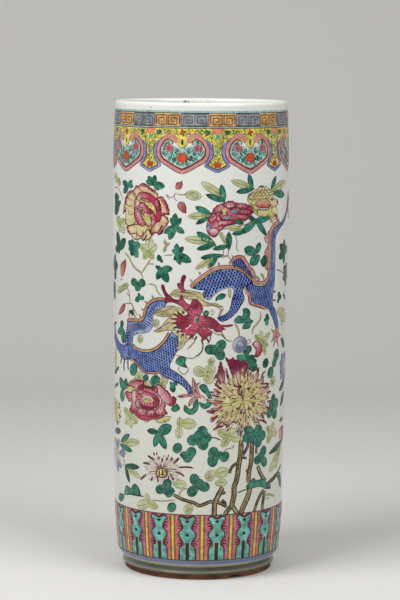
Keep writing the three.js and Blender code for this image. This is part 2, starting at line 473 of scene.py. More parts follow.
def laying_tree():
    """Repeats a flat drawing, x along the wall, -y off it and z up, and lays it on the round wall."""
    tree, given, made = node_tree(
        "laid_on_the_wall", "GeometryNodeTree",
        [("Drawing", "Geometry"), ("Copies", "Int", 1), ("Pitch", "Float", 0.0),
         ("Nominal Radius", "Float", NOMINAL_RADIUS * MM), ("Wall", "Object"), ("Material", "Material")],
        ("Laid", "Geometry"))
    step = wired(tree, "ShaderNodeCombineXYZ", (given["Pitch"],)).outputs[0]
    line = wired(tree, "GeometryNodeMeshLine", {"Count": given["Copies"], "Offset": step})
    copies = wired(tree, "GeometryNodeInstanceOnPoints",
                   {"Points": line.outputs[0], "Instance": given["Drawing"]})
    whole = wired(tree, "GeometryNodeRealizeInstances", (copies.outputs[0],))
    place = wired(tree, "GeometryNodeInputPosition").outputs[0]
    xyz = wired(tree, "ShaderNodeSeparateXYZ", (place,)).outputs
    angle = result(tree, "DIVIDE", xyz[0], given["Nominal Radius"])
    towards = result(tree, "MULTIPLY", result(tree, "COSINE", angle), -1.0)
    ahead = wired(tree, "ShaderNodeCombineXYZ", (result(tree, "SINE", angle), towards, 0.0)).outputs[0]
    height = wired(tree, "ShaderNodeCombineXYZ", (0.0, 0.0, xyz[2])).outputs[0]
    eye = wired(tree, "ShaderNodeVectorMath", (scaled(tree, ahead, 0.3), height), operation="ADD")
    wall = wired(tree, "GeometryNodeObjectInfo", {"Object": given["Wall"]})
    ray = wired(tree, "GeometryNodeRaycast", {
        "Target Geometry": wall.outputs["Geometry"], "Source Position": eye.outputs[0],
        "Ray Direction": scaled(tree, ahead, -1.0), "Ray Length": 1.0})
    proud = scaled(tree, ahead, result(tree, "MULTIPLY", xyz[1], -1.0))
    on_wall = wired(tree, "ShaderNodeVectorMath", (ray.outputs["Hit Position"], proud), operation="ADD")
    laid = wired(tree, "GeometryNodeSetPosition",
                 {"Geometry": whole.outputs[0], "Position": on_wall.outputs[0]})
    painted = wired(tree, "GeometryNodeSetMaterial",
                    {"Geometry": laid.outputs[0], "Material": given["Material"]})
    feed(tree, made, painted.outputs[0])
    return tree


LAYING = laying_tree()
GROUND_OVER = 3  # how far the ground that the drawings are laid on runs past the wall
ground_low, ground_high = wall_low - GROUND_OVER, wall_high + GROUND_OVER
wall_ground = turned_piece("wall_ground", [
    *((wall_radius(z), z) for z in np.linspace(ground_low, ground_high, 150)),
    (50.0, ground_high), (50.0, ground_low)], white_glaze, "glaze")


def lay_on_wall(piece, material, copies, pitch):
    run_tree(piece, LAYING, {
        "Copies": copies, "Pitch": pitch * MM, "Wall": wall_ground, "Material": material})
    settle(piece, LAID_CREASE)


def points(text):
    """Points of a drawing, written as u,z in millimetres. A star makes a point a corner: it comes twice."""
    return [tuple(float(c) for c in pair.strip("*").split(","))
            for pair in text.split() for _ in range(1 + pair.startswith("*"))]


def smooth(path, closed=False, step=1.6):
    """A curve through given points. A point written twice is a corner."""
    if closed:
        corners = [i for i in range(len(path)) if path[i] == path[i - 1]]
        if corners:
            path = path[corners[0]:] + path[:corners[0]] + [path[corners[0]]]
        else:
            path = path[-2:] + path + path[:2]
    runs, run = [], [path[0]]
    for point in path[1:]:
        if point == run[-1]:
            if len(run) > 1:
                runs.append(run)
            run = [point]
        else:
            run.append(point)
    if len(run) > 1:
        runs.append(run)
    whole_loop = closed and not corners
    curve = []
    for run in runs:
        p = np.array(run)
        slopes = np.zeros_like(p)
        slopes[1:-1] = (p[2:] - p[:-2]) / 2
        slopes[0] = p[1] - p[0]
        slopes[-1] = p[-1] - p[-2]
        for i in range(1, len(p) - 3) if whole_loop else range(len(p) - 1):
            count = max(1, round(float(np.hypot(*(p[i + 1] - p[i]))) / step))
            curve += [tuple(eased(p[i], slopes[i], p[i + 1], slopes[i + 1], k / count)) for k in range(count)]
        if not closed and run is runs[-1]:
            curve.append(tuple(p[-1]))
    return curve


def divided(path, step):
    """A path of straight stretches, with more points where a stretch is longer than a step."""
    out = []
    for a, b in zip(path, path[1:]):
        count = max(1, math.ceil(math.dist(a, b) / step))
        out += [(a[0] + (b[0] - a[0]) * k / count, a[1] + (b[1] - a[1]) * k / count) for k in range(count)]
    return [*out, path[-1]]


def across(path):
    """The way to the left of a path at each of its points, a millimetre long."""
    ahead = np.gradient(path, axis=0)
    return np.stack([-ahead[:, 1], ahead[:, 0]], 1) / (np.hypot(*ahead.T)[:, None] + 1e-9)


def turned_area(loop):
    """Twice the area in a closed loop, above 0 where it turns anticlockwise."""
    ahead = np.roll(loop, -1, 0)
    return np.sum(loop[:, 0] * ahead[:, 1] - loop[:, 1] * ahead[:, 0])


def edge_distance(spots, starts, ends):
    """The least distance from each spot to the sides of an outline."""
    side = ends - starts
    square = np.maximum((side ** 2).sum(1), 1e-12)
    away = spots[:, None, :] - starts[None]
    t = np.clip((away * side[None]).sum(2) / square, 0, 1)
    return np.sqrt(((away - t[..., None] * side[None]) ** 2).sum(2).min(1))


def turns_left(flat, face):
    """Whether a face turns anticlockwise."""
    (ax, az), (bx, bz), (cx, cz) = (flat[i] for i in face[:3])
    return (bx - ax) * (cz - az) - (bz - az) * (cx - ax) > 0


def open_sides(faces):
    """The sides that only one face has, in the way that it turns."""
    sides = {(face[i - 1], face[i]) for face in faces for i in range(len(face))}
    return [(a, b) for a, b in sides if (b, a) not in sides]


class Enamel:
    """Closed slabs of enamel, drawn flat in millimetres. Each vertex carries the brush's values: how far
    along its petal or leaf it lies, how far across, and how deep inside the edge; and the slab's tone."""

    def __init__(self):
        self.verts, self.faces, self.brush, self.tones = [], [], [], []

    def add(self, flat, tops, faces, brush, tone):
        """Adds a slab from the faces of its top, which turn anticlockwise."""
        first, count = len(self.verts), len(flat)
        self.verts += [(u, -top, z) for (u, z), top in zip(flat, tops)]
        self.verts += [(u, SUNK, z) for u, z in flat]
        self.brush += list(brush) * 2
        self.tones += [tone] * (2 * count)
        self.faces += [tuple(first + i for i in f) for f in faces]
        self.faces += [tuple(first + count + i for i in reversed(f)) for f in faces]
        self.faces += [(first + a, first + count + a, first + count + b, first + b)
                       for a, b in sorted(open_sides(faces))]

    def fill(self, loops, top=0.2, swell=0.08, axis=None, tone=0.0):
        """Fills the area inside one or more overlapping closed loops, thin at the edge, full inside.
        The brush goes along an axis from a base to a tip, which is the box's diagonal if not given."""
        loops = [np.array(divided([*loop, loop[0]], STEP)[:-1]) for loop in loops]
        outline = np.concatenate(loops)
        low, high = outline.min(0), outline.max(0)
        firsts = np.cumsum([0] + [len(loop) for loop in loops])
        rings = [list(range(a, b)) for a, b in zip(firsts, firsts[1:])]
        inner = []
        for loop in loops:
            ahead = np.roll(loop, -1, 0) - np.roll(loop, 1, 0)
            turn = 1 if turned_area(loop) > 0 else -1
            normal = turn * np.stack([-ahead[:, 1], ahead[:, 0]], 1) / (np.hypot(*ahead.T)[:, None] + 1e-9)
            inner += [tuple(q) for q in loop + normal * INSET]
        inner += [(u, z) for u in np.arange(low[0] + STEP / 2, high[0], STEP)
                  for z in np.arange(low[1] + STEP / 2, high[1], STEP)]
        ends = np.concatenate([np.roll(loop, -1, 0) for loop in loops])
        clear = edge_distance(np.array(inner), outline, ends) > INSET * 0.7
        inner = [q for q, is_clear in zip(inner, clear) if is_clear]
        verts, _, faces, _, _, _ = geometry.delaunay_2d_cdt(
            [Vector(p) for p in outline.tolist() + inner], [], rings, 1, 1e-4)
        flat = [(v.x, v.y) for v in verts]
        spots = np.array(flat)
        faces = [tuple(f) if turns_left(flat, f) else tuple(reversed(f)) for f in faces]
        starts, stops = np.array(open_sides(faces)).T
        depth = edge_distance(spots, spots[starts], spots[stops])
        base, tip = (np.array(q, float) for q in (axis or (low, high)))
        length = np.hypot(*(tip - base)) + 1e-9
        ahead = (tip - base) / length
        side = np.array([-ahead[1], ahead[0]])
        brush = np.stack([(spots - base) @ ahead / length, (spots - base) @ side, depth], 1)
        tops = top - swell * (1 - np.minimum(depth / EDGE_WIDTH, 1)) ** 2
        self.add(flat, tops, faces, brush.tolist(), tone)

    def stroke(self, path, width, top=0.3, taper=(0.35, 0.35), tone=0.0, crown=0.05):
        """A brush line along a path, its ends drawn out to a share of its width."""
        p = np.array(path, float)
        if len(p) < 2:
            return
        share = np.linspace(0, 1, len(p))
        thin = np.minimum(1, np.minimum(taper[0] + share / TAPER, taper[1] + (1 - share) / TAPER))
        half = (width / 2 * thin)[:, None] * across(p)
        flat = [tuple(q) for trio in zip(p - half, p, p + half) for q in trio]
        tops = [h for _ in p for h in (top - crown, top, top - crown)]
        brush = [(s, k * width / 2, 0 if k else width / 2) for s in share for k in (-1, 0, 1)]
        faces = []
        for i in range(0, 3 * (len(p) - 1), 3):
            faces += [(i, i + 3, i + 4, i + 1), (i + 1, i + 4, i + 5, i + 2)]
        self.add(flat, tops, faces, brush, tone)

    def lay(self, name, material, slot, copies=1, pitch=0.0, start=0.0):
        """Lays the drawing on the wall as one piece, repeated from a starting place."""
        piece = new_piece(name, [(u + start, y, z) for u, y, z in self.verts], [], self.faces)
        brush = piece.data.attributes.new("brush", "FLOAT_VECTOR", "POINT")
        brush.data.foreach_set("vector", np.array(self.brush, np.float32).ravel())
        tone = piece.data.attributes.new("tone", "FLOAT", "POINT")
        tone.data.foreach_set("value", np.array(self.tones, np.float32))
        lay_on_wall(piece, material, copies, pitch)


def brushed_group():
    """Enamel colour from the brush's values: a base colour, a body, a rim, streaks and mottling."""
    tree, given, made = node_tree(
        "brushed_enamel", "ShaderNodeTree",
        [("Brush", "Vector"), ("Tone", "Float", 0.0), ("Place", "Vector"), ("Base", "Color"),
         ("Body", "Color"), ("Rim", "Color"), ("Base Reach", "Float", 0.5), ("Rim Width", "Float", 1.0),
         ("Streaks", "Float", 0.3), ("Mottling", "Float", 0.2), ("Line", "Color"),
         ("Line Width", "Float", 0.0)], ("Color", "Color"))
    along, sideways, depth = wired(tree, "ShaderNodeSeparateXYZ", (given["Brush"],)).outputs
    stretch = wired(tree, "ShaderNodeCombineXYZ", (
        result(tree, "MULTIPLY", sideways, 1.1), along, result(tree, "MULTIPLY", given["Tone"], 31.0)))
    hairs = wired(tree, "ShaderNodeTexNoise", {
        "Vector": stretch.outputs[0], "Scale": 1.0, "Detail": 2.0}).outputs["Fac"]
    pools = wired(tree, "ShaderNodeTexNoise", {
        "Vector": given["Place"], "Scale": 160.0, "Detail": 3.0}).outputs["Fac"]
    colour = blended(tree, ramp(tree, along, given["Base Reach"], 0.0), given["Body"], given["Base"])
    wander = result(tree, "MULTIPLY", given["Rim Width"], result(tree, "MULTIPLY_ADD", hairs, 2.4, -0.2))
    at_rim = ramp(tree, depth, wander, 0.0, interpolation_type="SMOOTHSTEP")
    colour = blended(tree, at_rim, colour, given["Rim"])
    colour = blended(tree, ramp(tree, hairs, 0.4, 0.75, given["Streaks"]), colour, given["Rim"])
    lift = result(tree, "SUBTRACT", pools, 0.5)
    mottling = result(tree, "MULTIPLY", given["Mottling"], 4.0)
    value = result(tree, "MULTIPLY_ADD", lift, mottling, 1.0)
    shaded = wired(tree, "ShaderNodeHueSaturation", {"Value": value, "Color": colour}).outputs[0]
    edge = result(tree, "MULTIPLY", given["Line Width"], result(tree, "MULTIPLY_ADD", pools, 1.2, 0.4))
    on_line = ramp(tree, depth, result(tree, "ADD", edge, 0.02), result(tree, "MULTIPLY", edge, 0.6))
    feed(tree, made, blended(tree, on_line, shaded, given["Line"]))
    return tree


BRUSHED = brushed_group()


def enamel(name, body, rim=None, base=None, drift=None, base_reach=0.5, rim_width=1.0, streaks=0.3,
           mottling=0.2, roughness=0.18, line=(60, 40, 38), line_width=0.0, drift_size=45.0):
    """An overglaze enamel. Colours are as a screen shows them."""
    material, tree, shader, place = blank_material(name)
    brush = wired(tree, "ShaderNodeAttribute", attribute_name="brush").outputs["Vector"]
    tone = wired(tree, "ShaderNodeAttribute", attribute_name="tone").outputs["Fac"]
    fired = srgb(*body)
    if drift:
        patches = effect(tree, CLOUDS, Place=place, Size=drift_size, Contrast=2.6)
        fired = blended(tree, patches, fired, srgb(*drift))
    colour = effect(
        tree, BRUSHED, Brush=brush, Tone=tone, Place=place, Base=srgb(*(base or body)), Body=fired,
        Rim=srgb(*(rim or body)), Base_Reach=base_reach, Rim_Width=rim_width, Streaks=streaks,
        Mottling=mottling, Line=srgb(*line), Line_Width=line_width)
    skin = effect(tree, CLOUDS, Place=place, Size=260.0, Contrast=1.0)
    surface(tree, shader, colour, roughness, skin, strength=0.3, depth=0.0003)
    shader.inputs["Specular IOR Level"].default_value = 0.3
    return material


def band(low, high, left, right):
    """A rectangle between two heights."""
    return [(left, low), (right, low), (right, high), (left, high)]


def ring_lines(name, material, slot, top, *heights):
    """A piece of lines right round the vase, each between a low and a high height."""
    drawing = Enamel()
    columns = round(AROUND / STEP)
    for low, high in heights:
        for k in range(columns):
            drawing.add(band(low, high, AROUND * k / columns, AROUND * (k + 1) / columns), [top] * 4,
                        [(0, 1, 2, 3)], [(0, low, 1), (1, low, 1), (1, high, 1), (0, high, 1)], 0.0)
    drawing.lay(name, material, slot)


FRET_LOW, FRET_HIGH = 580.8, 596.8
FRET_PERIODS = 10
FRET_PERIOD = AROUND / FRET_PERIODS
FRET_START = 9.5
GOLD_WIDE = 35.5
SPIRAL_TURNS = 2
SPIRAL_GAP = 3.3
SPIRAL_HIGH = 11.4
SPIRAL_MARGIN = 2.2
FRET_FINENESS = 2.0
outline_ink = enamel("outline_ink", (44, 34, 38), mottling=0.3, roughness=0.45)


def square_spiral(left, wide):
    """The path of a square fret that winds inwards from its lower left corner."""
    u0, u1, z0, z1 = left, left + wide, FRET_LOW + SPIRAL_MARGIN, FRET_LOW + SPIRAL_MARGIN + SPIRAL_HIGH
    path = [(u0, z0)]
    for _ in range(SPIRAL_TURNS):
        path += [(u0, z1), (u1, z1), (u1, z0)]
        u0, z1 = u0 + SPIRAL_GAP, z1 - SPIRAL_GAP
        path += [(u0, z0)]
        u1, z0 = u1 - SPIRAL_GAP, z0 + SPIRAL_GAP
    return path


def fret_lines(left, wide, width):
    """Two frets that face each other, as straight brush lines."""
    drawing = Enamel()
    spiral_wide = wide / 2 - 3.6
    for mirrored_one in (False, True):
        start = left + SPIRAL_MARGIN + mirrored_one * (wide / 2 - 0.6)
        path = square_spiral(start, spiral_wide)
        if mirrored_one:
            path = [(2 * start + spiral_wide - u, z) for u, z in path]
        for a, b in zip(path, path[1:]):
            drawing.stroke(divided([a, b], FRET_FINENESS), width, 0.24, (1, 1))
    return drawing


fret_ground, gold_ground, gold_border = Enamel(), Enamel(), Enamel()
fret_ground.fill([band(FRET_LOW, FRET_HIGH, FRET_START + GOLD_WIDE, FRET_START + FRET_PERIOD)], top=0.14)
gold_ground.fill([band(FRET_LOW, FRET_HIGH, FRET_START, FRET_START + GOLD_WIDE)], top=0.15)
for side in (FRET_START + 0.7, FRET_START + GOLD_WIDE / 2, FRET_START + GOLD_WIDE - 0.7):
    gold_border.stroke(divided([(side, FRET_LOW + 0.8), (side, FRET_HIGH - 0.8)], FRET_FINENESS),
                       1.1, 0.2, (1, 1))
for drawing, name, material, slot in (
        (fret_ground, "fret_grey_ground",
         enamel("fret_grey_blue", (110, 110, 116), streaks=0.0, mottling=0.6), "enamel_blue"),
        (gold_ground, "fret_gold_ground",
         enamel("worn_gilding", (192, 152, 92), rim=(228, 204, 150), streaks=0.4, mottling=0.5,
                roughness=0.3), "gilding"),
        (gold_border, "fret_block_edges",
         enamel("fret_coral_line", (188, 116, 92), mottling=0.3), "enamel_pink"),
        (fret_lines(FRET_START, GOLD_WIDE, 1.3), "fret_gold_lines",
         enamel("fret_brown_line", (116, 80, 46), mottling=0.5), "outline_black"),
        (fret_lines(FRET_START + GOLD_WIDE, FRET_PERIOD - GOLD_WIDE, 1.1), "fret_pale_lines",
         enamel("fret_turquoise_line", (152, 164, 164), mottling=0.5), "enamel_turquoise")):
    drawing.lay(name, material, slot, FRET_PERIODS, FRET_PERIOD)
ring_lines("fret_edge_lines", outline_ink, "outline_black", 0.22,
           (596.8, 597.6), (580.0, 580.9), (577.9, 578.7))
ring_lines("fret_edge_turquoise", enamel("pale_turquoise", (158, 190, 188), mottling=0.3),
           "enamel_turquoise", 0.16, (597.6, 600.2), (578.7, 580.0))


# Ruyi band: eight cloud-collar lappets hang from the fret band on a yellow ground, each with a pink rim
# and flowers on turquoise. Between them hang narrow pendants in a blue border. All are enamel.

RUYI_COUNT = 8
RUYI_PITCH = AROUND / RUYI_COUNT
RUYI_CENTRE = -23.8
PENDANT_CENTRE = RUYI_CENTRE + RUYI_PITCH / 2
yellow = enamel("imperial_yellow", (216, 204, 100), rim=(200, 176, 74), rim_width=0.8, streaks=0.35,
                mottling=0.5)
turquoise = enamel("pale_turquoise_ground", (146, 194, 174), rim=(196, 214, 206), rim_width=2.6,
                   streaks=0.2, mottling=0.4)
pink = enamel("ruyi_pink", (204, 144, 136), rim=(166, 98, 108), streaks=0.35, mottling=0.25)
crimson = enamel("crimson_line", (128, 38, 52), streaks=0.2, mottling=0.4)
blue_border = enamel("border_blue", (98, 104, 170), rim=(152, 158, 198), drift=(138, 138, 184),
                     streaks=0.45, mottling=0.4, drift_size=20.0)
green = enamel("leaf_green", (22, 90, 70), rim=(8, 56, 46), base=(72, 146, 120), drift=(58, 132, 112),
               base_reach=0.95, rim_width=1.7, streaks=0.4, mottling=0.7, line=(8, 56, 44), line_width=0.28)
iron_red = enamel("iron_red", (196, 84, 48), rim=(150, 48, 34), streaks=0.4, mottling=0.4)
rose = enamel("rose_petal", (206, 92, 116), rim=(150, 32, 62), base=(232, 168, 172), base_reach=0.7,
              rim_width=1.4, streaks=0.45, mottling=0.25)


def mirrored(path):
    return [(-u, z) for u, z in path]


def oval(u, z, wide, high, degrees=0.0, count=14):
    """An oval about a place, tilted by some degrees."""
    c, s = math.cos(math.radians(degrees)), math.sin(math.radians(degrees))
    loop = [(wide / 2 * math.cos(math.tau * k / count), high / 2 * math.sin(math.tau * k / count))
            for k in range(count)]
    return [(u + x * c - y * s, z + x * s + y * c) for x, y in loop]


def spiral(u, z, size, turns, start_degrees, turning=1, count=18):
    """A small scroll that winds in to its middle."""
    path = []
    for k in range(count + 1):
        reach = size * (1 - 0.85 * k / count)
        angle = math.radians(start_degrees) + turning * turns * math.tau * k / count
        path.append((u + reach * math.cos(angle), z + reach * math.sin(angle)))
    return path


def floret(drawing, u, z, size, petals, top, squash=0.8):
    """A small open flower of round petals."""
    for k in range(petals):
        a = math.tau * k / petals + 0.3
        petal = oval(u + size * 0.55 * math.cos(a), z + squash * size * 0.55 * math.sin(a),
                     size * 0.95, size * 0.75, math.degrees(a))
        drawing.fill([petal], top + 0.006 * k, 0.05, tone=0.0 + k)


def inside_loop(spots, outline):
    """Which spots lie inside a closed outline."""
    a, b = outline, np.roll(outline, -1, 0)
    crossing = (a[None, :, 1] > spots[:, None, 1]) != (b[None, :, 1] > spots[:, None, 1])
    rise = np.where(b[:, 1] == a[:, 1], 1e-9, b[:, 1] - a[:, 1])
    at = a[None, :, 0] + (spots[:, None, 1] - a[None, :, 1]) * ((b[:, 0] - a[:, 0]) / rise)[None]
    return (crossing & (spots[:, None, 0] < at)).sum(1) % 2 == 1


def scale_rows(outline, pitch, lean, margin, area=None):
    """Staggered rows of spots that lie inside an outline, a margin from its edge, and in an area of
    (left, right, low, high) if one is given."""
    outline = np.array(outline)
    middle, reach = (outline.min(0) + outline.max(0)) / 2, np.ptp(outline, axis=0).max()
    steps = np.arange(-reach, reach, pitch)
    spots = np.array([(a + (pitch / 2 if row % 2 else 0), b * 0.8)
                      for row, b in enumerate(steps) for a in steps])
    c, s = math.cos(math.radians(lean)), math.sin(math.radians(lean))
    spots = spots @ np.array([[c, s], [-s, c]]) + middle
    if area:
        left, right, low, high = area
        u, z = spots.T
        spots = spots[(u > left) & (u < right) & (z > low) & (z < high)]
    spots = spots[inside_loop(spots, outline)]
    return spots[edge_distance(spots, outline, np.roll(outline, -1, 0)) > margin]


def dot_scrolls(spots, drawings, size, size_change, wave, turn, width, top):
    """Small scrolls on rows of spots, in these enamels by turns, which differ in size and start."""
    for k, (u, z) in spots:
        reach = size + size_change * math.sin(wave * k)
        scroll = spiral(u, z, reach, turn[0], turn[1] * k, 1 - 2 * (k % 2), 5)
        drawings[k % len(drawings)].stroke(scroll, width, top)


def dabs(drawing, top, fineness, *ovals):
    """Small ovals, each (u, z, wide, high, tilt in degrees)."""
    for u, z, wide, high, tilt in ovals:
        drawing.fill([oval(u, z, wide, high, tilt, fineness)], top)


def brush_lines(drawing, width, top, *texts):
    for text in texts:
        drawing.stroke(smooth(points(text)), width, top)


def lay_all(count, pitch, centre, *pieces):
    """Lays drawings round the vase, each (drawing, name, material, slot)."""
    for drawing, name, material, slot in pieces:
        drawing.lay(name, material, slot, count, pitch, centre)


ruyi_rim = smooth(points("0,523.4 8,526.6 18,532.4 26.8,537.6 31.4,544.5 31.8,552.5 28.4,560 23.8,565"
                         " 18.6,568.2 12.6,568 8.8,564.4 8.4,559.8"))
ruyi_inside = smooth(points("0,527.2 8,530.4 16,535 24.4,540 28.4,546 28.6,553 25.2,559 21.8,562.6"
                            " 17.6,564.2 13.6,562.6 12.4,559.4 14.2,557.4"))
ruyi_area = [(0, 527)] + ruyi_inside[1:] + points("10.5,556.6 5,554.6 0,554")
ruyi_area = ruyi_area + mirrored(ruyi_area[::-1])[1:-1]
yellow_notch = smooth(points("-7.6,563 -7.6,563 -6.8,558 0,553.4 6.8,558 7.6,563 7.6,563"), True)
yellow_ground, turquoise_ground, ruyi_dark, ruyi_pink, ruyi_crimson = (Enamel() for _ in range(5))
yellow_ground.fill([band(560.0, 577.9, -RUYI_PITCH / 2, RUYI_PITCH / 2), yellow_notch], 0.12)
turquoise_ground.fill([ruyi_area], 0.17)
for side in (list, mirrored):
    ruyi_dark.stroke(side(ruyi_rim), 5.7, 0.2, (1, 0.5))
    ruyi_pink.stroke(side(ruyi_rim), 4.5, 0.26, (1, 0.5))
    ruyi_pink.stroke(side(ruyi_rim[-17:]), 5.6, 0.264, (0.3, 0.5))
    ruyi_crimson.stroke(side(ruyi_inside), 1.5, 0.32, (1, 0.6))
brush_lines(ruyi_crimson, 0.9, 0.28, "-6.6,558.4 -4,555.4 0,553.6 4,555.4 6.6,558.4")

ruyi_leaves, ruyi_lights, ruyi_scrolls, ruyi_reds, ruyi_roses = (Enamel() for _ in range(5))
dabs(ruyi_leaves, 0.27, 12, (-10, 538.8, 6.6, 5.2, 120), (10.6, 540.6, 6.6, 5.6, 60), (0, 560.8, 3, 7.6, 0),
     (-13, 545.5, 3, 1.8, 140), (5, 536, 3.4, 2, 30), (-20, 546, 3.6, 2, 60))
dabs(ruyi_lights, 0.24, 10, (-6, 550.6, 3.4, 2.4, 20), (21, 546, 3, 2.4, 20), (-25, 551.5, 2.6, 3, 20),
     (0, 534, 4, 2, 20))
for u, z, size, start, turning in (
        (-24, 547, 2.6, 90, 1), (24.4, 548.6, 2.5, 60, -1), (-7, 551.2, 2.7, 200, 1),
        (8, 551.6, 2.8, 340, -1),
        (-5.6, 533.6, 2.3, 20, 1), (6.4, 532.6, 2.2, 160, -1), (-16.4, 541.4, 2.3, 80, -1),
        (15.6, 547, 2.4, 220, 1), (16.4, 540.4, 2.1, 100, 1), (-18.6, 559.6, 2.0, 0, 1),
        (19.2, 560.4, 2.0, 180, -1)):
    ruyi_scrolls.stroke(spiral(u, z, size, 1.3, start, turning), 0.8, 0.3)
brush_lines(ruyi_scrolls, 0.7, 0.29, "-3,545 -8,547 -13,550 -16,551", "3,545 9,547 14,551 19,551.6",
            "-24,555 -22,558 -18,562 -16,563", "25,554 24,557 19.6,562 17,563", "-6,541 -12,537 -10,534",
            "6,541 13,538 17,536.6", "0,537 0,531")
clear_spots = [(k, (u, z)) for k, (u, z) in enumerate(scale_rows(ruyi_area, 4.3, 17, 2.2))
               if math.hypot(u, z - 541.2) > 7 and math.hypot(abs(u) - 18, z - 553.3) > 4.6]
dot_scrolls(clear_spots, (ruyi_scrolls, ruyi_leaves, ruyi_scrolls, ruyi_lights), 1.7, 0.4, 3, (0.6, 97),
            1.05, 0.28)
floret(ruyi_reds, 0, 541.4, 7.4, 7, 0.31, squash=0.75)
floret(ruyi_reds, 0.3, 572.6, 4.2, 4, 0.22, squash=1.2)
floret(ruyi_roses, -17, 553.2, 5.4, 5, 0.31, squash=1)
floret(ruyi_roses, 19.6, 553.4, 5.4, 5, 0.31, squash=1)
for u, z in ((0, 541.4), (-17, 553.2), (19.6, 553.4)):
    ruyi_reds.fill([oval(u, z, 2.4, 2, 0, 8)], 0.37, tone=9)
lay_all(RUYI_COUNT, RUYI_PITCH, RUYI_CENTRE,
        (yellow_ground, "ruyi_yellow_ground", yellow, "enamel_yellow"),
        (turquoise_ground, "ruyi_turquoise_ground", turquoise, "enamel_turquoise"),
        (ruyi_dark, "ruyi_rim_outline", outline_ink, "outline_black"),
        (ruyi_pink, "ruyi_pink_rim", pink, "enamel_pink"),
        (ruyi_crimson, "ruyi_crimson_line", crimson, "enamel_rose"),
        (ruyi_leaves, "ruyi_leaves", green, "enamel_green"),
        (ruyi_lights, "ruyi_blue_dabs", blue_border, "enamel_blue"),
        (ruyi_scrolls, "ruyi_scrolls",
         enamel("dark_green_line", (34, 66, 72), mottling=0.5), "outline_black"),
        (ruyi_reds, "ruyi_orange_flowers", iron_red, "enamel_iron_red"),
        (ruyi_roses, "ruyi_rose_flowers", rose, "enamel_rose"))

pendant_edge = smooth(points("-14.6,563.4 -9.6,557.6 -7.6,549 -8.8,541.6 -12.4,535.4 *-14.8,531.8 0,524.4"))
pendant_area = smooth(points("-8,565 -6,556 -5.4,549 -6.4,541.6 -10,535.4 -12,532.4 0,526.6"))
pendant_area = pendant_area + mirrored(pendant_area[::-1])[1:]
pendant_yellow, pendant_dark, pendant_blue, pendant_reds, pendant_pinks = (Enamel() for _ in range(5))
pendant_greens, pendant_dabs, pendant_lines, pendant_teals = (Enamel() for _ in range(4))
pendant_yellow.fill([pendant_area[::-1]], 0.15)
for side in (list, mirrored):
    pendant_dark.stroke(side(pendant_edge), 4.4, 0.19, (0.4, 1))
    pendant_blue.stroke(side(pendant_edge), 3.3, 0.25, (0.4, 1))
pendant_dark.stroke(pendant_area, 1.1, 0.3, (0.5, 0.5))
floret(pendant_reds, 0.4, 532.8, 5.2, 5, 0.24, squash=0.7)
dabs(pendant_greens, 0.22, 12, (-12.8, 573.4, 7.6, 5.4, 150), (13, 573.2, 7.6, 5.2, 25),
     (-3, 556, 3.4, 1.6, 60), (3.2, 553.6, 3.4, 1.6, 120), (-1.6, 543.6, 3, 1.6, 110), (2, 540.6, 3, 1.6, 60),
     (-7.4, 567, 3.6, 1.8, 30), (8, 566.4, 3.6, 1.8, 150), (-20, 575.4, 3.6, 2, 0), (20.6, 575.6, 3.6, 2, 0),
     (-27.5, 574.5, 3, 1.8, 40), (28, 574.2, 3, 1.8, 140))
floret(pendant_pinks, 0, 575.2, 7.4, 6, 0.2, squash=0.26)
dabs(pendant_dabs, 0.24, 12, (0.4, 549, 4.2, 5, 0), (0.6, 568, 6, 4.2, 0), (-22.4, 572.4, 2.6, 2, 0),
     (23, 572.6, 2.6, 2, 0))
brush_lines(pendant_lines, 0.6, 0.2, "-9,570 -5,565 -1,560 0,552 0,537", "9,570 5,565 1,560",
            "-18,577 -15,571 -9,571 -4,573", "18,577 16,571 9,570.6 4,573", "-26,577 -24,573 -28,571",
            "26,577 24,573 28,571", "-5,546 -3,541 0,538 3,541 5,546", "-7,562 -4,559 -5,555",
            "7,562 4,559 5,555")
yellow_area = pendant_area[::-1] + points("-14,563 -23,571 -40,566 -40,577 40,577 40,566 23,571 14,563")
dot_scrolls(enumerate(scale_rows(yellow_area, 3.7, 24, 0.8)),
            (pendant_greens, pendant_lines, pendant_teals, pendant_lines, pendant_reds), 1.5, 0.5, 2,
            (0.55, 83), 1.1, 0.2)
lay_all(RUYI_COUNT, RUYI_PITCH, PENDANT_CENTRE,
        (pendant_yellow, "pendant_yellow_ground", yellow, "enamel_yellow"),
        (pendant_dark, "pendant_outline", outline_ink, "outline_black"),
        (pendant_blue, "pendant_blue_border", blue_border, "enamel_blue"),
        (pendant_pinks, "pendant_pink_flowers",
         enamel("coral_pink", (222, 142, 112), rim=(196, 92, 70), mottling=0.3), "enamel_pink"),
        (pendant_dabs, "pendant_turquoise_dabs",
         enamel("deep_turquoise", (70, 158, 160), mottling=0.4), "enamel_turquoise"),
        (pendant_reds, "pendant_iron_red_flowers", iron_red, "enamel_iron_red"),
        (pendant_greens, "pendant_leaves", green, "enamel_green"),
        (pendant_teals, "pendant_teal_lines",
         enamel("teal_line", (76, 142, 128), mottling=0.3), "enamel_turquoise"),
        (pendant_lines, "pendant_scrolls",
         enamel("yellow_ground_line", (116, 122, 66), mottling=0.5), "outline_black"))


# Lappet band round the foot: eighteen turquoise figures with pierced eyes and a dark slot, crimson hooks
# on both sides, and pink borders that meet at a yellow stripe. Each is a flat slab of enamel.

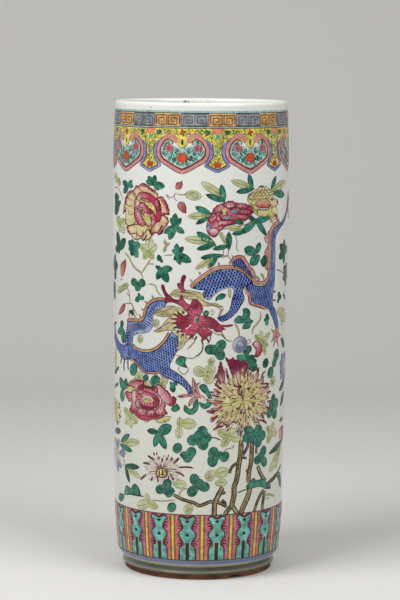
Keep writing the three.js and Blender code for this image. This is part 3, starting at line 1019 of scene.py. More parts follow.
LAPPETS = 18
LAPPET_PITCH = AROUND / LAPPETS
LAPPET_CENTRE = -14.6
STRIPE_EDGE = LAPPET_PITCH / 2 - 2.7
LAPPET_LOW, LAPPET_HIGH = 27.2, 87.0
figure_half = smooth(points("0,81 4,82.6 8,84.6 10.8,82.6 10,78.6 6.8,75.4 5.2,71.6 5.6,67.8 9,65.4 10.8,61"
                            " 9.4,56.4 6,53.2 5,49.4 5,49.4"), step=2.2)
figure_edge = figure_half + points("5.2,46.6 8.4,45.2 10,42.4 10.2,36 10.4,27.6")
figure = figure_edge + points("2.4,27.6 2.2,50.4")
figure = figure + mirrored(figure[::-1])[:-1]
lappet_ground, lappet_figures, lappet_hooks, lappet_holes, lappet_slots = (Enamel() for _ in range(5))
lappet_lines, lappet_crimson, stripes, stripe_lines = (Enamel() for _ in range(4))
lappet_ground.fill([band(LAPPET_LOW, LAPPET_HIGH, -LAPPET_PITCH / 2, LAPPET_PITCH / 2)], 0.12)
lappet_figures.fill([figure[::-1]], 0.26)
for half in (figure_edge, mirrored(figure_edge)):
    lappet_crimson.stroke(half, 3.8, 0.16, (1, 1))
    lappet_lines.stroke(half, 1.9, 0.2, (1, 1))
for side in (-1, 1):
    for z, reach in ((78, 8.6), (74.2, 7.2), (70.4, 7.0), (55, 8.2), (51.2, 7.0), (47.4, 8.0)):
        bend = (side * (reach + 2.6), z + 0.5)
        dark_hook = [(side * 12.8, z - 0.6), bend, (side * (reach - 0.7), z - 0.2)]
        hook = [(side * 12.4, z - 0.5), bend, (side * reach, z - 0.2)]
        lappet_lines.stroke(smooth(dark_hook), 4.2, 0.3, (0.3, 0.7))
        lappet_hooks.stroke(smooth(hook), 2.8, 0.36, (0.6, 0.6))
    edge = [(side * STRIPE_EDGE, LAPPET_LOW), (side * STRIPE_EDGE, LAPPET_HIGH - 0.6)]
    stripe_lines.stroke(divided(edge, 4), 1.6, 0.22, (1, 1))
dabs(lappet_holes, 0.32, 14, (0.2, 78.4, 5.4, 4.0, 8), (0.2, 60.6, 5.2, 4.6, 8))
lappet_slots.fill([points("-2.3,27.6 2.3,27.6 2.1,50.6 -2.1,50.6")], 0.3)
brush_lines(lappet_slots, 1.5, 0.24, "-12,82 -9,85 -4,85.2 0,82.8 4,85.2 9,85 12,82")
stripes.fill([band(LAPPET_LOW, LAPPET_HIGH, LAPPET_PITCH / 2 - 1.9, LAPPET_PITCH / 2 + 1.9)], 0.24)
lay_all(LAPPETS, LAPPET_PITCH, LAPPET_CENTRE,
        (lappet_ground, "lappet_pink_ground",
         enamel("lappet_pink", (204, 118, 106), rim=(186, 92, 98), drift=(172, 108, 162), streaks=0.4,
                mottling=0.5, drift_size=9.0), "enamel_pink"),
        (lappet_figures, "lappet_turquoise_figures",
         enamel("lappet_turquoise", (86, 162, 144), rim=(126, 184, 168), drift=(116, 182, 168), rim_width=1.2,
                streaks=0.25, mottling=0.6, line=(40, 84, 76), line_width=0.3), "enamel_turquoise"),
        (lappet_crimson, "lappet_crimson_borders", crimson, "enamel_rose"),
        (stripe_lines, "lappet_stripe_lines",
         enamel("stripe_olive_line", (122, 88, 36), mottling=0.4), "outline_black"),
        (lappet_lines, "lappet_outlines", enamel("plum_line", (64, 30, 44), mottling=0.4), "outline_black"),
        (lappet_hooks, "lappet_crimson_hooks",
         enamel("hook_crimson", (172, 42, 72), rim=(120, 26, 50), base=(216, 138, 140), base_reach=0.8,
                rim_width=0.8, mottling=0.3, line=(84, 24, 40), line_width=0.4), "enamel_rose"),
        (lappet_holes, "lappet_eyes", enamel("eye_green_black", (18, 48, 48), mottling=0.4), "outline_black"),
        (lappet_slots, "lappet_slots",
         enamel("slot_brown", (62, 34, 24), mottling=0.6, roughness=0.3), "outline_black"),
        (stripes, "lappet_yellow_stripes",
         enamel("stripe_yellow", (222, 196, 84), rim=(176, 140, 50), mottling=0.3), "enamel_yellow"))
ring_lines("lappet_edge_lines", outline_ink, "outline_black", 0.25, (26.6, 27.6), (86.6, 87.5))


# Flowering plants: peonies, chrysanthemums, buds and leaves in famille-rose enamels. Each petal and leaf
# is a slab of its own over the one behind it, darker at its edge, with veins and outlines in fine brush.


def ruffled(loop, axis, depth, long=5.6):
    """A petal's outline with scallops on the part that lies towards the tip of its colour axis, and the
    places of the notches between them."""
    spots, (base, tip) = np.array(loop), np.array(axis)
    edge = np.roll(spots, -1, 0) - np.roll(spots, 1, 0)
    out = np.stack([edge[:, 1], -edge[:, 0]], 1) / (np.hypot(*edge.T)[:, None] + 1e-9)
    run = np.cumsum(np.hypot(*(spots - np.roll(spots, 1, 0)).T))
    along = (spots - base) @ (tip - base) / np.sum((tip - base) ** 2)
    wave = (np.abs(np.sin(np.pi * run / long)) - 0.5) * depth * np.clip((along - 0.25) * 4, 0, 1)
    at_notch = (np.diff(run // long, append=run[-1] // long) > 0) & (along > 0.3)
    spots = spots + np.sign(turned_area(spots)) * out * wave[:, None]
    return [tuple(q) for q in spots], spots[at_notch]


class Painting:
    """A group of enamels that are painted together, each named by a letter."""

    def __init__(self, name, ruffle=0.0, **enamels):
        self.name, self.ruffle = name, ruffle
        self.enamels = {key: (Enamel(), material, slot) for key, (material, slot) in enamels.items()}
        self.lacy = self.enamels["l"][0] if "l" in enamels else None  # whose leaves have scalloped edges

    def paint(self, text, top, rise=0.004):
        """Paints shapes, one above the other. They are written as u,z points with a slash between them.
        Each starts with the letter of its enamel, and then nothing for an outline, a width for a brush
        line, @ and a radius for leaflets, or < and a share for a leaf, whose first point is its heart
        and the others its tips. After a bar come the base and tip that the colour is shaded between."""
        for layer, shape in enumerate(text.split("/")):
            words, _, axis = shape.partition("|")
            kind, places = words.split(maxsplit=1)
            drawing, level = self.enamels[kind[0]][0], top + rise * layer
            places, axis = points(places), points(axis) or None
            if kind[1:2] == "@":
                self.cluster(drawing, places, float(kind[2:]), level, layer)
            elif kind[1:2] == "<":
                self.leaf(drawing, places, float(kind[2:]), level, layer)
            elif kind[1:]:
                ends = (0.8, 0.7) if kind[0] == "q" else (0.35, 0.35)
                drawing.stroke(smooth(places), float(kind[1:]), level, ends, layer, 0.01)
            elif self.ruffle and axis:
                loop, notches = ruffled(smooth(places, True, 1.3), axis, self.ruffle)
                self.crease(notches, axis[0], level)
                drawing.fill([loop], level, 0.012, axis, layer)
            else:
                drawing.fill([smooth(places, True, 2.2)], level, 0.012, axis, layer)

    def crease(self, notches, base, level):
        """Short dark lines from the notches in a petal's edge, towards its base."""
        for k, notch in enumerate(notches):
            inward = np.array(base) - notch
            size = np.hypot(*inward)
            inward = inward / (size + 1e-9) * min(2.4 + 1.6 * (k % 3), 0.6 * size)
            line = [notch, notch + inward * 0.5, notch + inward]
            self.enamels["nk"[k % 2]][0].stroke(line, 0.6, level + 0.009, (0.8, 0.1), crown=0.004)

    def vein(self, path, width, level):
        self.enamels["v"][0].stroke(smooth([tuple(q) for q in path]), width, level + 0.05, crown=0.01)

    def cluster(self, drawing, places, radius, level, tone):
        """Rounded leaflets that lean out from the middle of their group; a small one is only a dot."""
        middle = np.mean(places, 0)
        lacy = self.lacy is drawing
        for k, spot in enumerate(np.array(places)):
            out = spot - middle
            size = np.hypot(*out)
            ahead = out / size if size > 1 else np.array([0.6, 0.8])
            foot, tip = spot - ahead * radius * 0.95, spot + ahead * radius
            turn = math.degrees(math.atan2(ahead[1], ahead[0]))
            loop = oval(*spot, 2.25 * radius, 1.9 * radius, turn, 28 if lacy else 14)
            if lacy:
                loop, _ = ruffled(loop, (foot - ahead * radius, tip), 1.2, 4.0)
            drawing.fill([loop], level + 0.012 * k, 0.03, (tuple(foot), tuple(tip)), tone + 3 * k)
            if radius > 4 and "v" in self.enamels:
                long, side = tip - foot, np.array([-ahead[1], ahead[0]]) * radius
                for a, b in ((0, 0.05), (0.5, 0.42), (-0.5, -0.4)):
                    self.vein([foot + long * 0.12, foot + long * 0.5 + side * a * 0.8,
                               foot + long * 0.8 + side * b], 0.5, level + 0.012 * k)

    def leaf(self, drawing, places, share, level, tone):
        """A leaf of one or more pointed lobes, a share as wide as long, each with its vein."""
        heart, tips = np.array(places[0]), np.array(places[1:])
        half = ((0.12, 0.34), (0.48, 0.5), (0.8, 0.36), (0.95, 0.13))
        sides = ((-0.12, 0), *half, (1, 0), *((a, -s) for a, s in half[::-1]))
        lobes = []
        for tip in tips:
            ahead = tip - heart
            side = np.array([-ahead[1], ahead[0]]) * share
            lobe = [tuple(heart + ahead * a + side * s) for a, s in sides]
            if self.lacy is drawing:
                lobe, _ = ruffled(smooth(lobe, True, 1.4), (heart - ahead, tip), 1.1, 4.2)
            else:
                lobe = smooth(lobe, True, 2.2)
            lobes.append(lobe)
            self.vein([heart, heart + ahead * 0.45 + side * 0.06, heart + ahead * 0.85], 0.55, level)
        drawing.fill(lobes, level, 0.02, (tuple(heart), tuple(tips.mean(0))), tone)

    def lay(self):
        """Lays each enamel as a piece, twice: the hidden back repeats the front."""
        for drawing, material, slot in self.enamels.values():
            drawing.lay(self.name + "_" + material.name, material, slot, 2, AROUND / 2)


brown_line = enamel("brown_line", (88, 44, 40), mottling=0.3)
leaves = Painting(
    "foliage",
    g=(green, "enamel_green"),
    # Dark green enamel. Most of its leaves lie near the sides of the vase, where their darkness is partly
    # painted shade.
    d=(enamel("leaf_dark_green", (16, 66, 54), rim=(12, 42, 38), base=(40, 104, 80), drift=(38, 96, 74),
              streaks=0.4, mottling=0.6, line=(14, 40, 34), line_width=0.3), "enamel_green"),
    l=(enamel("leaf_lime", (198, 200, 158), rim=(158, 162, 112), base=(178, 186, 122), drift=(214, 214, 182),
              base_reach=0.9, rim_width=1.6, streaks=0.6, mottling=0.3, line=(128, 122, 76),
              line_width=0.42), "enamel_lime"),
    v=(enamel("leaf_vein", (16, 62, 48), mottling=0.3), "outline_black"),
    t=(enamel("twig_olive", (182, 172, 132), rim=(134, 118, 84), rim_width=0.8, streaks=0.5, mottling=0.4,
              line=(104, 84, 60), line_width=0.35), "outline_black"),
    k=(brown_line, "outline_black"),
    o=(enamel("bud_rose", (176, 92, 90), rim=(120, 34, 48), base=(216, 150, 132), base_reach=0.7,
              rim_width=1.8, streaks=0.5, line=(84, 34, 38), line_width=0.5), "enamel_rose"),
    q=(enamel("trunk_bark", (164, 150, 106), rim=(62, 46, 28), rim_width=2.2, streaks=1.0, mottling=0.7,
              line=(40, 28, 16), line_width=1.7), "outline_black"))


def petal(colour_name, body, rim, base, slot, line=(84, 28, 30), line_width=1.0, **looks):
    """An enamel of the flowers and its slot."""
    looks = {"streaks": 0.5, "line": line, "line_width": line_width, **looks}
    return enamel(colour_name, body, rim, base, **looks), slot


flowers = Painting(
    "flowers", 1.0,
    c=petal("petal_cream", (230, 218, 170), (164, 56, 66), (210, 214, 148), "enamel_yellow",
            base_reach=0.75, rim_width=2.6),
    k=petal("petal_crimson", (136, 24, 52), (96, 16, 38), (204, 112, 116), "enamel_rose",
            base_reach=0.7, rim_width=1.2, mottling=0.3),
    r=petal("petal_rose", (190, 78, 98), (146, 48, 68), (232, 164, 170), "enamel_rose",
            base_reach=0.7, rim_width=1.6, mottling=0.25),
    p=petal("petal_pink", (230, 198, 166), (158, 34, 58), (218, 214, 152), "enamel_pink",
            base_reach=0.9, rim_width=4.0, streaks=0.6),
    y=petal("petal_lime", (218, 212, 142), (162, 144, 72), (198, 204, 120), "enamel_lime", (96, 66, 36), 0.5,
            base_reach=0.6, rim_width=1.4, streaks=0.6, mottling=0.3),
    b=petal("petal_lilac_blue", (126, 134, 164), (84, 86, 120), (188, 194, 202), "enamel_blue", (70, 56, 90),
            0.4, base_reach=0.6, streaks=0.4),
    m=petal("mum_petal", (228, 216, 166), (166, 112, 100), (194, 202, 112), "enamel_yellow", (72, 44, 34),
            0.42, base_reach=0.95, streaks=0.6, mottling=0.25),
    f=petal("mum_faint_petal", (226, 200, 196), (176, 96, 118), (222, 216, 186), "enamel_pink",
            (112, 56, 66), 0.35, base_reach=0.8, rim_width=1.4, streaks=0.6),
    q=petal("petal_blush", (186, 66, 94), (140, 20, 50), (240, 210, 208), "enamel_pink",
            base_reach=0.85, rim_width=2.4, streaks=0.6),
    x=petal("petal_magenta", (126, 26, 66), (88, 16, 46), (228, 180, 176), "enamel_rose", (74, 18, 36), 0.6,
            base_reach=0.6, streaks=0.7, mottling=0.3),
    a=petal("petal_bare", (222, 220, 210), (196, 158, 150), (212, 210, 176), "enamel_yellow",
            (118, 72, 60), 0.3, base_reach=0.6, rim_width=0.9, mottling=0.15),
    w=petal("petal_straw", (232, 220, 178), (196, 166, 122), (208, 208, 146), "enamel_yellow",
            (110, 82, 50), 0.6, base_reach=0.8, rim_width=1.8, mottling=0.25),
    o=petal("petal_coral", (186, 78, 88), (146, 44, 62), (234, 186, 156), "enamel_pink", (110, 52, 42), 0.6,
            base_reach=0.85, rim_width=1.6, mottling=0.25),
    n=(brown_line, "outline_black"))


def rays(keys, u, z, count, inner, outer, width, start, level, squash=0.85, tip=0.0):
    """Narrow petals round the heart of a chrysanthemum, in these enamels by turns, each dark at its tip."""
    half = ((0, 0.12), (0.35, 0.36), (0.65, 0.5), (0.88, 0.3), (1, 0))
    edge = (*half, *((share, -off) for share, off in half[::-1]))
    heart = np.array([u, z])
    for k in range(count):
        a = math.radians(start + 360 * k / count + 4 * math.sin(2.4 * k))
        ahead = np.array([math.cos(a), squash * math.sin(a)])
        side = np.array([-ahead[1], ahead[0]]) * width
        reach = inner + (outer - inner) * (1 + 0.12 * math.sin(1.9 * k))
        loop = [tuple(heart + ahead * (inner + (reach - inner) * share) + side * off) for share, off in edge]
        axis = [tuple(heart + ahead * r) for r in (inner, reach)]
        drawing = flowers.enamels[keys[k % len(keys)]][0]
        drawing.fill([smooth(loop, True, 2.4)], level + 0.0022 * k, 0.01, axis, k)
        if tip:
            dab = [tuple(heart + ahead * reach * share) for share in (0.8, 0.88, 0.95, 1.02)]
            brush = flowers.enamels["xkn"[k % 3]][0]
            brush.stroke(dab, width * tip, level + 0.0022 * k + 0.03, (0.2, 0.1), 0.01)


# Upper left peony, over its leaves
leaves.paint("""
g<.62 -107,504 -121,507 -118,493 -98,510 -96,503 / g<.6 -62,507 -74,511 -71,517 -60,519 -46,505 -54,500 /
d<.75 -132,477 -150,484 -151,466 -126,483 / d<.55 -133,486.6 -152,487 /
d<.56 -129,421 -139,443 -147,419 -112,435 -131,414 /
g<.75 -96,425 -106,433 -106,422 -98,436 -83,431 -87,413 -100,414 /
l<.8 -125,452 -140,460 -113,459 -114,443 -131,443 / l<.75 -139,509 -155,514 -126,504 /
t1 -150,498 -138,499 -128,494 -120,485 / l<.7 -70,422 -83,429 -57,431 -78,412 -61,413 -66,440 /
l<.5 -44,430 -46,438 -47,422 -39,434 / g<.5 -33,455 -47,446 -40,438 -20,447 -38,466 -24,466 -32,472 /
g<.52 -30,420 -21,430 -30,434 -11,411 -25,407 -36,426 -33,412 / d<.55 -52,412 -55,419 -48,412 /
t1 -46,418 -38,419 -34,419 / t1 -30,496 -24,495 -18,496.5 / t.8 -34,494 -38,491 -44,495 -40,488 /
t.8 -29,487 -33,490 -33,496 -30,497
""", top=0.2)
flowers.paint("""
c -112,470 *-119,466 -118,472 -116,480 -110,481 -104,478 -100,468 | -98,472 -118,472 /
c -98,462 -106,466 -112,461 -113,456 -108,452 *-111,450 -107,444 -101,442 *-99,439 -94,436 -87,435
 *-83,438 -78,435 -72,436.5 -67,438 -60,452 -76,462 | -78,460 -92,434 /
p -62,462 -66,452 *-64.5,441.5 -58,446 *-54,443 -49,449 *-46.5,451.5 -41.5,458 -41,464 -45,468 -52,470 |
 -66,466 -44,452 /
p -66,500 *-54,491 -50,492.5 -45,487 -42,482 -39.7,474 -41,469 -47,470 -56,462 -62,474 | -68,476 -40,480 /
p -96,484 *-112,487 -108,494 -103,497 -97,498 *-94,500 -91,504 -86,504 *-83,506.5 -78,508 -72,506 -66,502
 -59,499 -55,491 -62,480 -76,476 | -78,478 -82,508 /
c -91,492 *-95,497 -103,494 -109,486 -113,478 -112,466 -113,457 -108,452 -99,453 -91,458 -86,472 | -90,474
 -122,476 /
c *-102,441 -108,446 -105,452 -92,455 -76,456 -68,453 *-64.5,441.5 -70,449 -76,443 -84,440 -92,443 |
 -78,460 -86,438 /
q -90,487 -87,494 -80,497 -69,496 -60,491 -53,486 -51,478 -50,468 -54,460 -66,462 -84,476 | -94,482
-66,494 / y -88,486 -82,490 -72,488 -63,482 -58,474 -60,466 -72,466 -84,476 /
q -94,483 -91,487 -85,486 -82,482 -87,476 -82,468 -77,460 -72,456.5 -79,453 -86,455 -92,461 -94,468 |
-80,472 -94,464 / c -84,487 -78,489.6 -70,487.4 -66,484 -72,483.6 -79,485.6 | -74,484 -76,490 /
q -56,489 -53,483 -52,476 -56,474 -59,479 -60,486 | -61,480 -52,480 /
q *-70,476 -66,476.5 -61,471 -57,464 -58,458 -64,452.5 -67,455 -65,462 -67,468 | -71,462 -57,466 /
y -86,476 -80,470 -74,469 -67,465 -65,458 -67,454 -73,457 -78,463 /
q -85,480 -80,484 -74,482 -69,477 -66,474 -70,469 -77,468 -83,473 | -86,472 -70,479 /
c -84,477 -80,478 -77,474 -74,470 -78,468.6 -83,473 / y -76,470 -72,470 -68,465.6 -70,461 -75,463
""", top=0.24, rise=0.015)
flowers.paint("""
n.8 -92,487 -84,492 -74,495.6 -65,495.5 / n.7 -109,453 -100,452.6 -91,456 /
n.7 -106,474 -105,468 -98,467 -92,470 / n.7 -83,478 -80,469 -73,466 -69,472 /
n.8 -82,468 -76,462 -73,457 / n.7 -62,452.6 -67,446 -64.5,442 / n.7 -90,436 -89,444 -90,452 /
r3 -52,489.6 -47,484.6 -44,479.6 -42,474 / r2.8 -82,504.4 -74,504.8 -66,500.6 -61,497 /
r2.6 -80,438 -78.4,442 -77.6,447 / r2.8 -109.4,450 -106,446 -102,442.4 / r2.6 -55,447.6 -52,451 -49,456 /
r2.4 -114,480 -112,487 -108,491 / n.7 -48,470 -43,470 -40,472 / n.6 -97,497 -94,490 -92,487 /
n.7 -86,504 -84,500 -79,497 / k2.2 -117,472 -114,470 -112,474 / k2.4 -108,447 -104,443.6 -101,443 /
k2 -77,436 -74,439 -72.6,444 / k2.2 -54,444.6 -50,446.4 -48,450 / n.7 -110,480 -104,477 -98,478
""", top=0.46, rise=0.001)
# Buds, and the lance leaves between the flowers
leaves.paint("""
o -32,503 -31,510 -26,511 *-23.5,513 -23,506 -26,502 -30,501.5 | -31,502 -24,512 /
l -20,494.6 -18,498.6 -12,500.8 -5,500 0,496 1,492 -4,488.8 -10,488.4 -16,490.6 /
o -29.5,482 -26,486.6 -21,485.4 -18,480 *-18,472 -22,472.6 -27.6,477 | -30,484 -18,473 /
v.7 -16,495.6 -11,498 -5,496.6 -3.6,492.8 -8,491.4 -10.4,493.8 -8,495.4 / v.5 -24,486 -23,480 -20,475 /
l<.32 26,495 0,511.5 / g<.32 28,487.5 6,496 / g<.4 29,487.5 25.5,508.5 / l<.35 11,470 -16,468 /
g<.4 12,471 -7,480.5 / g<.35 10,468 -6,458.5 / l<.3 12,437 -20,440 / g<.36 17,433 -5,449 /
g<.34 16,432 -5,427 / l<.3 32,434 24,450 / g<.4 36,428 36,449 / g<.32 35,431 15,427 / g<.3 26,419 0,416 /
l<.3 14,415 -6,402 / g<.4 20,414 9,403 / l<.3 66,504 38,513 / g<.32 69,502 45,498.5 /
g<.42 68,502 63,521 / g<.4 102,501 113,517 / l<.3 106,500 141,508 / g<.36 108,496 138,491 /
g<.4 74,462 60,468.5 / g<.36 75,462 52,446 / g<.36 57,448 40,446 / g<.34 73,461 100,465 /
g<.3 75,462 93,442 / g<.5 44,462 56,459 / g<.72 74,421.5 57,426.5 / g<.66 77,421 81.5,434 /
g<.8 80,416 66,406.5 / d<.8 91,416 88,402 / d<.6 140,418 124,428 140,434 158,422 122,411 140,402 /
t.8 30,430 29,420 34,417 / t.8 36,428 35,418 / t.8 22,421 28,417 34,419 40,412 /
t.8 74,420 82,412 84,406 / t1 24,452 46,455 60,458 74,462 / t.7 44,446 47,436 46,428 50,424 /
l<.4 52,452 34,454
""", top=0.2)
# Rose peony and yellow-green peony, top middle
flowers.paint("""
r 8,449 12,444 18,442 22,446 26,452 34,456 44,458 54,460 62,464 69,471 69,478 62,482.5 52,484 42,486
34,486 26,484 18,480 14,473 9,464 7,456 / r 9,462 10.5,468 16,472 20.5,470 19,464 14,460 | 21,466 8,464 /
q 14,472 16,478 22,483 28,484 30,480 26,475 20,472 | 27,475 16,482 /
q 28,483 33,487 40,487.5 46,484 44,480 36,478 31,480 | 37,478 38,489 /
r 45,483 53,484.5 62,482.5 *68,480 58,477 48,478 | 46,479 66,482 /
q 47,477 56,476.5 66,476 *71,472 62,470 50,471.5 | 44,474 70,473 /
r 46,470 55,470.5 62,469 *66,465.5 57,463 47,465 | 43,468 66,466 /
q 21,462 30,463.6 40,463 46,461.5 40,458 30,456 23,455 | 19,460 45,461 /
r 14,458 16,463 21,464 22.5,457 18,453 13,454 | 19,455 13,463 /
q 9,450 14,454 21,453 23,447.5 18,443 12,444 | 16,452 15,442 /
r 22,453 26,458.6 30,456 27,451 | 24,452 30,457 / q 23,470 27,474 34,471 34,465.4 26,464 | 34,470 23,466 /
q 36,478 41,480 48,479 52,475 44,474 | 50,476 36,479 / b 7,453 9,459 12,460 13,456 11,451 8,450 /
b 30,466 34,469 39,469.6 40,467 35,465 31,464 / b 37,475 42,477.5 48,475 45,471.5 39,472.5 /
c 26.5,472 30,475 34,472.6 32.6,468.6 28,469 / y@3.6 30,476 / n.7 20,483 25,479 24,472 19,466 /
n.7 45,478.6 54,478.6 64,479 / n.7 24,462.6 34,464 46,464 57,466 / n.6 42,471 50,471.6 60,470.4 /
n.6 11,466 18,470 24,478
""", top=0.24, rise=0.0105)
flowers.paint("""
w 92,486 *104,487 110,488 *118,486 *118,480 108,478 100,480 | 96,482 120,484 /
w 98,478 106,477 112,479 *118,470 114,464 108,468 104,458 98,462 94,472 | 96,476 114,464 /
w 102,470 110,469 *116,468 *117,461 108,461 *106,456 102,462 | 100,470 118,462 /
y 72,474 68,480 62,486 61,490 68,492 76,488 80,480 78,475 /
w 62,490 *62,495 *66,497 *71,499 76,502 82,498 80,490 72,488 | 82,488 60,494 /
w 78,500 *80,505 86,503 *92,505 98,501 *106,497 *108,490 *104,486 98,490 86,495 | 88,488 96,508 /
y 66,484 70,492 74,497 82,499 92,499 98,495 102,490 100,484 92,480 76,480 /
o 73,483 78,487 88,489 96,487 101,481 98,477 88,477 78,478 | 88,488 88,476 /
w 78,487 84,490 90,489 94,487 88,485 / y 70,474 80,475 90,474 98,476 100,470 90,466 80,467 74,470 /
y 98,478 104,476 106,468 101,462 98,468
""", top=0.24, rise=0.015)
for row, (low, left, right) in enumerate(((487, 65, 106), (491, 67, 105), (494.6, 68, 102), (498, 74, 97))):
    for u in np.arange(left + 3.2 * (row % 2), right, 6.4):
        arc = smooth([(u - 3.2, low), (u, low + 2.9), (u + 3.2, low)])
        flowers.enamels["n"][0].stroke(arc, 0.7, 0.46, crown=0.01)
flowers.paint("""
n1.6 63,490 64,494 68,495 / n1.6 78,503 82,505 88,504.4 / n1.8 101,487 104,486.6 107,487.4 /
n2 75,474 77,471.4 75.6,469.6 / k3 108,465 112,466.5 116,464 114,461.4 / r2.4 113,485 116,483 117,480 /
n.6 72,476 84,475.4 97,475 / n.6 92,483 100,479 103,470 / n.6 66,484 70,480 72,475
""", top=0.455, rise=0.001)


# Dragon: it winds round the front in blue, each scale a navy dot, its back edged in gold and pink, with a
# crimson head, an olive mane and pink claws. All of it is enamel, the scales laid last with a fine brush.


def scale_tree():
    """Sets a small six-sided slab of enamel on every point of a drawing."""
    tree, given, made = node_tree(
        "scales_on_points", "GeometryNodeTree",
        [("Rows", "Geometry"), ("Scale Radius", "Float", 0.001), ("Thickness", "Float", 0.0003),
         ("Lean", "Float", 0.7)], ("Scales", "Geometry"))
    slab = wired(tree, "GeometryNodeMeshCylinder", {
        "Vertices": 6, "Radius": given["Scale Radius"], "Depth": given["Thickness"]})
    flat = wired(tree, "GeometryNodeTransform", {
        "Geometry": slab.outputs["Mesh"], "Rotation": (math.pi / 2, 0, 0)})
    rows = wired(tree, "GeometryNodeMeshToPoints", (given["Rows"],))
    size = wired(tree, "ShaderNodeCombineXYZ", (given["Lean"], 1.0, 1.0)).outputs[0]
    scales = wired(tree, "GeometryNodeInstanceOnPoints",
                   {"Points": rows.outputs[0], "Instance": flat.outputs[0], "Scale": size})
    feed(tree, made, wired(tree, "GeometryNodeRealizeInstances", (scales.outputs[0],)).outputs[0])
    return tree


SCALES = scale_tree()
SCALE_LIFT = 0.2  # of a scale's middle over the glaze


def lay_scales(name, spots, radius):
    """Lays a field of scales on the wall as one piece, on both sides of the vase."""
    piece = new_piece(name, [(u, -SCALE_LIFT, z) for u, z in spots], [], [])
    run_tree(piece, SCALES, {"Scale Radius": radius * MM})
    lay_on_wall(piece, navy, 2, AROUND / 2)


def ladder(side_a, side_b, count, width, reach=(0.08, 0.92)):
    """Bars across a limb, from one of its edges to the other."""
    def along(path):
        path = np.array(smooth(points(path)))
        run = np.concatenate([[0], np.cumsum(np.hypot(*np.diff(path, axis=0).T))])
        share = (np.arange(count) + 0.5) / count * run[-1]
        return np.stack([np.interp(share, run, path[:, 0]), np.interp(share, run, path[:, 1])], 1)
    for a, b in zip(along(side_a), along(side_b)):
        start, end = a + (b - a) * reach[0], a + (b - a) * reach[1]
        bar = [tuple(start + (end - start) * k / 4) for k in range(5)]
        dragon.enamels["n"][0].stroke(bar, width, 0.37, (0.5, 0.5), crown=0.01)


def fins(key, text, length, top):
    """Short spikes that stand off the dragon's back: each is a foot and the way it leans, in degrees."""
    for spike in text.split():
        u, z, lean = (float(c) for c in spike.split(","))
        c, s = math.cos(math.radians(lean)), math.sin(math.radians(lean))
        path = [(u, z), (u + c * length * 0.5, z + s * length * 0.5), (u + c * length, z + s * length)]
        dragon.enamels[key][0].stroke(path, 2.2, top, (1.2, 0.1), crown=0.01)


navy = enamel("scale_navy", (12, 20, 92), mottling=0.3, roughness=0.3, line=(12, 20, 92))
dragon = Painting(
    "dragon",
    b=(enamel("dragon_blue", (100, 130, 190), rim=(60, 86, 160), drift=(138, 156, 198), rim_width=1.8,
              streaks=0.5, mottling=0.6, line=(20, 24, 64), line_width=1.2), "enamel_blue"),
    e=(enamel("belly_lavender", (138, 151, 190), rim=(106, 120, 180), drift=(166, 174, 206), streaks=0.4,
              mottling=0.4, line=(52, 56, 104), line_width=0.5), "enamel_blue"),
    n=(navy, "enamel_blue"),
    o=(enamel("back_gold", (216, 182, 108), rim=(158, 108, 56), rim_width=0.5, mottling=0.3), "gilding"),
    p=(enamel("claw_pink", (206, 150, 138), rim=(160, 96, 96), rim_width=0.7, streaks=0.8, mottling=0.5,
              line=(96, 40, 48), line_width=0.55), "enamel_pink"),
    h=(enamel("head_crimson", (182, 62, 92), rim=(112, 26, 50), base=(216, 112, 134), base_reach=0.6,
              drift=(140, 30, 56), rim_width=1.9, streaks=0.8, mottling=0.5, line=(70, 20, 30),
              line_width=0.7), "enamel_rose"),
    q=(enamel("grey_line", (128, 138, 128)), "outline_black"),
    m=(enamel("mane_olive", (200, 194, 148), rim=(132, 118, 74), base=(220, 212, 166), rim_width=1.3,
              streaks=1.0, mottling=0.4, line=(88, 68, 38), line_width=0.55), "enamel_lime"),
    w=(enamel("ivory_white", (238, 230, 214), rim=(206, 170, 160), rim_width=0.5), "enamel_pink"),
    g=(green, "enamel_green"),
    k=(brown_line, "outline_black"))
BODY_FRONT = """
-42,359.5 -52,360.6 -61,358.6 -68,353.2 -72.6,345.2 -75.3,337.4 -80,332.4 -89,330.9 -101,330.9 -108.5,327
 -111,318 -113,306 -116,296 -124,289 -118,283 -108,284 -100,281.5 -94,281 -88,276.5 -82,271.5 -75,268.5
 -66,268.5 -57,269 -50,266.5 -42,262.5 -35,259.5 -28,256.5 -21,252.5 -16,247 -14,242 -11.5,241 -9,244.5
 -9,250.5 -14,257 -21,264.5 -29,270 -36,273.5 -38.5,277 -36,284 -32,291 -28.5,298 -26.5,305 -25,314
 -28,322 -36,322 -39,317 -45,308.5 -54,299.5 -65,294.5 -80,293 -90,295.5 -96,300 -97,306 -95,312 -85,315.5
 -72,318 -65,323 -61,331 -62,340 -58,347 -47,352.5
"""
BODY_ARCH = """
*-10,377.5 -5,383 1.5,389 8,393.8 15,398.3 23,401.2 32,402.2 42,402 51,399.3 59,394.2 66.5,388.8 73,384.2
 62,380 57.5,377 56,372 58.5,366 58,361 54,355 50,349 44,343 37,338 29,335 24,337 22,341 27,342.5 32,344.5
 37,349 39.5,356 41,364 43,371 43,376 38,378.5 30,377 22,373.5 16,368 *11,363 5,366 3,371 *6,375.5 0,375.5
"""
BODY_TAIL = """
60,380 66,381 70,383 75,380 82,378.3 90,378.5 96,382 100,389 101.5,400 102,420 102.5,435 105,444 110,450
 118,453.5 128,457.5 137,462 146,470 153,479 156,476 149,465 139,456 128,451 121,446 114,440 112.5,430
 113,415 113,395 112,378 109,368 109,353 113,348 118,342 122,333 125,322 119,319.5 114,326 110,333 104,341
 99,348 92,350.5 85,353 77,355.5 70,357 68.5,361 70,366 65,368.5 62,372 61,376
"""
BODY_SHOULDER = """
42,405 41,410 46,414.5 52,414.5 57,409.5 62,402.5 67,396.5 71,392 69,389 63,392 57,397 50,402
"""
